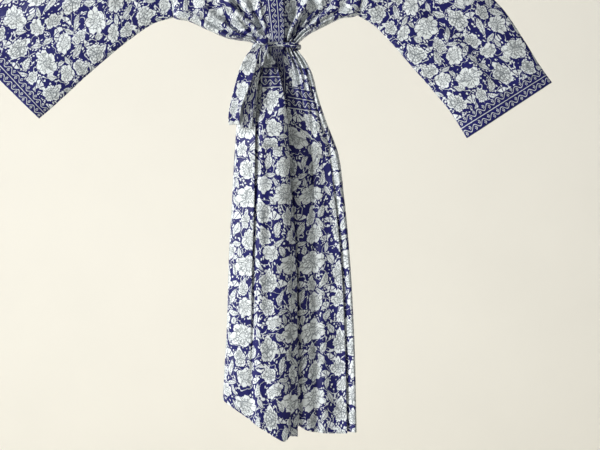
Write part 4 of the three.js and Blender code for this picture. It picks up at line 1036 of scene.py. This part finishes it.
class OBJECT_OT_robe_neck_band(bpy.types.Operator):
    """Makes the band that edges both fronts and the back neck"""

    bl_idname = "object.robe_neck_band"
    bl_label = "Neck band"

    # The band's direction at the neck, and how many sections keep to it.
    START = (0.8, 0, 0.6)
    START_ROWS = 3
    # Below this station the band lies nearly flat, with this share of the panel's slope in depth.
    FLAT_STATION = 2.9
    FLAT_SHARE = 0.2
    # Where it is narrower than this, the belt crushes it, and it stands this far off the panel.
    CRUSHED = 20
    CRUSHED_GAP = 1.5
    # How far it leans in at the ends of the back neck.
    LEAN = 0.5
    COLUMNS = 9

    def front(self, points, kept, sections, sideways):
        """The seam down a front, and the band's direction, width and gap at every row of it."""
        ways, widths = [], []
        for row, (fine, section) in enumerate(zip(kept, sections)):
            way = points[fine, -1] - points[fine, -1 - ACROSS // MODEL_STEPS]
            way /= np.linalg.norm(way)
            if row < self.START_ROWS:
                way = np.array((sideways * self.START[0], 0, self.START[2]))
            if section[0] > self.FLAT_STATION:
                way = way * (1, self.FLAT_SHARE, 1)
            if section[8] < self.CRUSHED:
                way = way / np.linalg.norm(way) + (0, 1, 0)
            ways.append(way / np.linalg.norm(way))
            widths.append((section[8], self.CRUSHED_GAP if section[8] < self.CRUSHED else SEAM))
        at = np.arange(len(points))
        way = np.stack([np.interp(at, kept, [w[k] for w in ways]) for k in range(3)], axis=-1)
        way /= np.linalg.norm(way, axis=1, keepdims=True)
        width, gap = (np.interp(at, kept, [w[k] for w in widths]) for k in (0, 1))
        return points[:, -1], way, width, gap

    def neck(self, points):
        """The same round the back neck, where the band stands up."""
        seams = points[0][np.abs(points[0, :, 0]) < NECK_SEAM]
        lean = -np.sign(seams[:, 0]) * (np.abs(seams[:, 0]) / NECK_HALF) ** 3 * self.LEAN
        way = np.stack([lean, np.zeros_like(lean), np.ones_like(lean)], axis=-1)
        way /= np.linalg.norm(way, axis=1, keepdims=True)
        return seams, way, np.full(len(seams), BAND_WIDTH), np.full(len(seams), 2 * SEAM)

    def execute(self, context):
        left = self.front(*panels()["left"], LEFT_SECTIONS, 1)
        right = self.front(*panels()["right"], RIGHT_SECTIONS, -1)
        neck = self.neck(panels()["back"][0])
        seam, way, width, gap = (np.concatenate([a[::-1], b, c]) for a, b, c in zip(left, neck, right))
        shares = np.linspace(0, 1, self.COLUMNS)
        out = gap[:, None] + width[:, None] * shares
        points = seam[:, None] + way[:, None] * out[..., None]
        chart = flat_chart(
            lengths(points, 0).mean(axis=1)[:, None], shares[None] * BAND_STEP * 2 - BAND_STEP / 6
        )
        thick = context.scene.robe_sizes.cloth
        slots = np.ones(len(points) - 1, int)
        piece = cloth("neck_band_cloth", points, chart, TOWARDS_VIEWER, thick, slots=slots)
        settle(piece, "neck_band")
        return {"FINISHED"}


class OBJECT_OT_robe_pockets(bpy.types.Operator):
    """Makes the two patch pockets with their printed tops"""

    bl_idname = "object.robe_pockets"
    bl_label = "Pockets"

    # How far a pocket stands off its front, from the middle of one cloth to the middle of the other.
    LIFT = 1.5

    def execute(self, context):
        sizes = context.scene.robe_sizes
        for side, (top, bottom, first, last) in POCKETS.items():
            points, kept = panels()[side]
            rows = np.interp([top, bottom], range(len(kept)), kept)
            low, high = (round(row) for row in rows)
            cut = np.s_[low : high + 1, first * ACROSS : last * ACROSS + 1]
            normal = normals_of(points)[cut]
            normal *= -np.sign(normal[..., 1].mean())
            lifted = points[cut] + normal * self.LIFT
            down = lengths(lifted, 0).mean(axis=1)
            across = lengths(lifted, 1)
            chart = flat_chart(across, down[:, None])
            slots = (down[:-1] < sizes.border / MM).astype(int)
            piece = cloth(f"pocket_{side}_cloth", lifted, chart, TOWARDS_VIEWER, sizes.cloth, slots=slots)
            settle(piece, f"pocket_{side}")
        return {"FINISHED"}


class OBJECT_OT_robe_belt(bpy.types.Operator):
    """Makes the belt: the crushed turn round the waist, its knot, its loop and its ends"""

    bl_idname = "object.robe_belt"
    bl_label = "Belt"

    TURNS = 160
    SIDES = 28
    # The crushed strip: half height, and how much it swells, half depth, and how far its folds go round it.
    HIGH = 5.2
    SWELL = 0.2
    DEEP = 2.2
    FOLDED_PAST = -0.2
    # Folds along the strip: height, number round it, how far they drift round it, and how often they do.
    FOLDS = ((1.2, 5, 4, 2), (0.5, 9, -3, 3))
    ROUND = 44
    LONG = 300
    # The knot: columns and rows, creases by depth, place and half width, ripples, and the cloth's size on it.
    BALL = (48, 33)
    SLANT = 0.6
    KNOT_CREASES = ((0.12, 0, 0.16), (0.07, 0.55, 0.1), (0.06, -0.5, 0.1))
    KNOT_RIPPLES = (0.02, 14)
    KNOT_CLOTH = (80, 38)
    # Each strip's table, rows, curl at its edges as a share of its width, and where it was cut from the
    # print, in its repeat. A pale flower lies across the top of the loop.
    STRIPS = {
        "belt_loop": (LOOP, 121, 0.05, (86, 62)),
        "belt_end_long": (END_LONG, 61, 0.08, (0, 0)),
        "belt_end_short": (END_SHORT, 31, 0.1, (0, 0)),
    }
    COLUMNS = 17
    WIDTH = 40
    # Small waves across a strip, as a share of its curl, and how many.
    CRIMP = (0.12, 22)
    # The flat size of what shows of each.
    FLATS = {
        "belt": (0.04, 0.31), "belt_knot": (0.025, 0.06), "belt_loop": (0.03, 0.38),
        "belt_end_long": (0.022, 0.19), "belt_end_short": (0.012, 0.05),
    }

    def strip(self, node, thick):
        """A length of belt from its table. Its edges curl back."""
        rows, count, curl, cut_at = self.STRIPS[node]
        table = curve(range(len(rows)), rows, np.linspace(0, len(rows) - 1, count))
        plan, lift = np.radians(table[:, 4]), np.radians(table[:, 5])
        across = np.stack([np.cos(plan) * np.cos(lift), np.sin(plan) * np.cos(lift), np.sin(lift)], axis=-1)
        shares = np.linspace(-0.5, 0.5, self.COLUMNS)
        points = table[:, None, :3] + across[:, None] * (shares[None, :, None] * table[:, 3, None, None])
        normal = normals_of(points)
        share, times = self.CRIMP
        bend = curl * (2 * shares) ** 2 + share * curl * np.cos(shares * times)
        points = points - normal * (bend[None, :, None] * table[:, 3, None, None])
        chart = flat_chart(shares[None] * self.WIDTH, lengths(points, 0).mean(axis=1)[:, None]) + cut_at
        return cloth(f"{node}_cloth", points, chart, TOWARDS_VIEWER, thick)

    def round_waist(self, thick):
        """The turn round the waist: a strip crushed into folds."""
        angle = np.linspace(0, 2 * math.pi, self.TURNS, endpoint=False)[:, None]
        cosine, sine = np.cos(angle), np.sin(angle)
        power = BELT["corner"]
        reach = (np.abs(cosine) ** power + np.abs(sine) ** power) ** (-1 / power)
        x = BELT["x"] + BELT["half_width"] * cosine * reach
        y = BELT["y"] + BELT["half_depth"] * sine * reach
        centre = np.stack([x, y, BELT["z"] + BELT_SWAY * np.sin(3 * angle)], axis=-1)
        ahead = np.roll(centre, -1, axis=0) - np.roll(centre, 1, axis=0)
        out = np.stack([ahead[..., 1], -ahead[..., 0], np.zeros_like(x)], axis=-1)
        out /= np.linalg.norm(out, axis=-1, keepdims=True)
        turn = np.linspace(0, 2 * math.pi, self.SIDES, endpoint=False)[None]
        high = self.HIGH * (1 + self.SWELL * np.sin(5 * angle)) * np.sin(turn)
        folds = sum(
            tall * np.cos(count * turn + drift * np.sin(often * angle))
            for tall, count, drift, often in self.FOLDS
        )
        deep = self.DEEP * np.cos(turn) + folds * (np.cos(turn) > self.FOLDED_PAST)
        points = centre + out * deep[..., None] + np.stack([0 * high, 0 * high, high], axis=-1)
        points = np.concatenate([points, points[:1]])
        chart = flat_chart(
            np.linspace(0, self.LONG, self.TURNS + 1)[:, None], np.linspace(0, self.ROUND, self.SIDES + 1)
        )
        return cloth("belt_cloth", points, chart, None, thick, True)

    def knot(self, thick):
        """The knot: one end wrapped over the belt, drawn into creases."""
        columns, rows = self.BALL
        turn = np.linspace(0, 2 * math.pi, columns, endpoint=False)[None]
        rise = np.linspace(-math.pi / 2, math.pi / 2, rows)[1:-1, None]
        ball = np.stack(np.broadcast_arrays(
            np.cos(rise) * np.cos(turn), np.cos(rise) * np.sin(turn), np.sin(rise) + 0 * turn
        ), axis=-1)
        slant = ball[..., 0] + self.SLANT * ball[..., 2]
        ripple, times = self.KNOT_RIPPLES
        crease = 1 + ripple * np.cos(times * slant)
        for deep, at, half in self.KNOT_CREASES:
            crease -= deep * np.exp(-(((slant - at) / half) ** 2))
        points = np.array(KNOT["at"]) + ball * crease[..., None] * np.array(KNOT["half"])
        wide, long = self.KNOT_CLOTH
        chart = flat_chart(np.linspace(0, wide, columns + 1), np.linspace(0, long, rows - 2)[:, None])
        return cloth("belt_knot_cloth", points, chart, None, thick, True)

    def execute(self, context):
        sizes = context.scene.robe_sizes
        pieces = {"belt": self.round_waist(sizes.cloth), "belt_knot": self.knot(sizes.cloth)}
        pieces.update({node: self.strip(node, sizes.belt_cloth) for node in self.STRIPS})
        for node, piece in pieces.items():
            settle(piece, node)
        return {"FINISHED"}


def tube_along(name, path, half, material, ends):
    """A rod along a path of x and z, made as a curve with a round bevel, then a mesh. ends gives each point's
    share of the half depth and height."""
    bpy.ops.object.select_all(action="DESELECT")
    bpy.ops.curve.primitive_nurbs_path_add(location=(0, 0, 0))
    rod = bpy.context.object
    rod.name = rod.data.name = name
    line = rod.data.splines[0]
    line.points.add(len(path) - len(line.points))
    for point, (x, z), end in zip(line.points, path, ends):
        point.co = (x * MM, 0, z * MM, 1)
        point.radius = end
    line.order_u = 4
    line.use_endpoint_u = True
    line.resolution_u = 6
    rod.data.bevel_depth = half[1] * MM
    rod.data.bevel_resolution = 6
    rod.data.use_fill_caps = True
    bpy.ops.object.convert(target="MESH")
    rod = bpy.context.object
    bpy.ops.object.mode_set(mode="EDIT")
    bpy.ops.mesh.select_all(action="SELECT")
    bpy.ops.mesh.remove_doubles(threshold=1e-5)
    bpy.ops.mesh.normals_make_consistent(inside=False)
    bpy.ops.transform.resize(value=(1, half[0] / half[1], 1), center_override=(0, 0, 0))
    bpy.ops.object.mode_set(mode="OBJECT")
    bpy.ops.object.shade_smooth_by_angle(angle=math.radians(40))
    rod.data.materials.clear()
    rod.data.materials.append(material)
    return rod


class OBJECT_OT_robe_hanger(bpy.types.Operator):
    """Makes the wooden hanger and its wire hook"""

    bl_idname = "object.robe_hanger"
    bl_label = "Hanger"

    # Where the bar starts to narrow, and over what length it would come to nothing.
    TAPER = (190, 40)
    BAR_POINTS = 49
    # The wire: points of its loop and its stem, how far the stem is sunk in the bar, and the bend of the two.
    LOOP_POINTS, STEM_POINTS = 40, 8
    SUNK = 4
    BEND = (1, 0.4, 3)

    def execute(self, context):
        half = list(BAR_LINE)
        shape = [(-x, z) for x, z in half[:0:-1]] + half
        path = curve(range(len(shape)), shape, np.linspace(0, len(shape) - 1, self.BAR_POINTS))
        ends = [1 - max(0, (abs(x) - self.TAPER[0]) / self.TAPER[1]) for x, _ in path]
        drop = [(x, z - BAR_HALF[1] * end) for (x, z), end in zip(path, ends)]
        bar = tube_along("hanger_bar_wood", drop, BAR_HALF, birch(context.scene.robe_colours), ends)
        settle(bar, "hanger_bar")
        radius, middle = HOOK_LOOP + WIRE, -HOOK_LOOP
        arc = [
            (radius * math.cos(a), middle + radius * math.sin(a))
            for a in np.radians(np.linspace(-90, HOOK_END, self.LOOP_POINTS))
        ]
        aside, above, below = self.BEND
        heights = np.linspace(BAR_LINE[0][1] - self.SUNK, middle - radius - below, self.STEM_POINTS)
        route = [(0, z) for z in heights] + [(aside, middle - radius - above)] + arc[1:]
        hook = tube_along("hanger_hook_wire", route, (WIRE, WIRE), plated_wire(), [1] * len(route))
        settle(hook, "hanger_hook")
        return {"FINISHED"}


class OBJECT_OT_robe_stage(bpy.types.Operator):
    """Makes the wall, the floor, the lights and the camera"""

    bl_idname = "object.robe_stage"
    bl_label = "Stage"

    def slab(self, name, low, high, material):
        """A plain slab between two corners in millimetres."""
        bpy.ops.object.select_all(action="DESELECT")
        bpy.ops.mesh.primitive_cube_add(size=1, location=(0, 0, 0))
        slab = bpy.context.object
        slab.name = slab.data.name = name
        bpy.ops.object.mode_set(mode="EDIT")
        bpy.ops.mesh.select_all(action="SELECT")
        size = [(b - a) * MM for a, b in zip(low, high)]
        middle = [(a + b) / 2 * MM for a, b in zip(low, high)]
        bpy.ops.transform.resize(value=size, center_override=(0, 0, 0))
        bpy.ops.transform.translate(value=middle)
        bpy.ops.object.mode_set(mode="OBJECT")
        slab.data.materials.append(material)

    def light(self, name, place, aim, power, size):
        """A soft square light that faces a point."""
        lamp = bpy.data.lights.new(name, "AREA")
        lamp.energy = power
        lamp.size = size
        lamp.color = LAMP_COLOUR
        holder = bpy.data.objects.new(name, lamp)
        holder.location = Vector(place)
        holder.rotation_euler = (Vector(aim) - Vector(place)).to_track_quat("-Z", "Y").to_euler()
        holder.visible_camera = False
        bpy.context.collection.objects.link(holder)

    def execute(self, context):
        paint = painted_wall(context.scene.robe_colours)
        side, back, low = WALL["half_width"], WALL["y"], FLOOR["z"] - FLOOR["thick"]
        self.slab("wall", (-side, back, low), (side, back + WALL["thick"], WALL["top"]), paint)
        self.slab("floor", (-side, FLOOR["front"], low), (side, back, FLOOR["z"]), paint)
        middle = (VIEW["x"] * MM, 0, VIEW["z"] * MM)
        for name, (place, aim, power, size) in LIGHTS.items():
            self.light(name, place, aim or middle, power, size)
        world = bpy.data.worlds.new("room")
        world.use_nodes = True
        colour, strength = world.node_tree.nodes["Background"].inputs[:2]
        colour.default_value = (*linear("#f4f4f2"), 1)
        strength.default_value = ROOM_LIGHT
        context.scene.world = world
        context.scene.view_settings.view_transform = "Standard"
        eye = bpy.data.cameras.new("camera")
        eye.lens = VIEW["lens"]
        eye.sensor_width = SENSOR
        eye.clip_end = 30
        camera = bpy.data.objects.new("camera", eye)
        distance = VIEW["width"] * MM * VIEW["lens"] / SENSOR
        camera.location = (VIEW["x"] * MM, -distance, VIEW["z"] * MM)
        camera.rotation_euler = (math.pi / 2, 0, 0)
        context.collection.objects.link(camera)
        context.scene.camera = camera
        return {"FINISHED"}


class VIEW3D_PT_robe(bpy.types.Panel):
    """Lists the robe's makers in the sidebar"""

    bl_label = "Robe"
    bl_idname = "VIEW3D_PT_robe"
    bl_space_type = "VIEW_3D"
    bl_region_type = "UI"
    bl_category = "Robe"

    def draw(self, context):
        for group in (context.scene.robe_sizes, context.scene.robe_colours):
            for name in group.__annotations__:
                self.layout.prop(group, name)
        for maker in MAKERS:
            self.layout.operator(maker.bl_idname)


MAKERS = (
    OBJECT_OT_robe_stage, OBJECT_OT_robe_body, OBJECT_OT_robe_sleeves, OBJECT_OT_robe_neck_band,
    OBJECT_OT_robe_pockets, OBJECT_OT_robe_belt, OBJECT_OT_robe_hanger,
)
CLASSES = (RobeSizes, RobeColours, *MAKERS, VIEW3D_PT_robe)


def register():
    """Registers the classes, and hangs the sizes and colours on the scene."""
    for item in CLASSES:
        bpy.utils.register_class(item)
    bpy.types.Scene.robe_sizes = bpy.props.PointerProperty(type=RobeSizes)
    bpy.types.Scene.robe_colours = bpy.props.PointerProperty(type=RobeColours)


def unregister():
    """Takes the sizes, the colours and the classes away again."""
    del bpy.types.Scene.robe_colours
    del bpy.types.Scene.robe_sizes
    for item in reversed(CLASSES):
        bpy.utils.unregister_class(item)


def main():
    """Makes everything in order."""
    register()
    bpy.ops.object.robe_stage()
    bpy.ops.object.robe_body()
    bpy.ops.object.robe_sleeves()
    bpy.ops.object.robe_neck_band()
    bpy.ops.object.robe_pockets()
    bpy.ops.object.robe_belt()
    bpy.ops.object.robe_hanger()


if __name__ == "__main__":
    main()
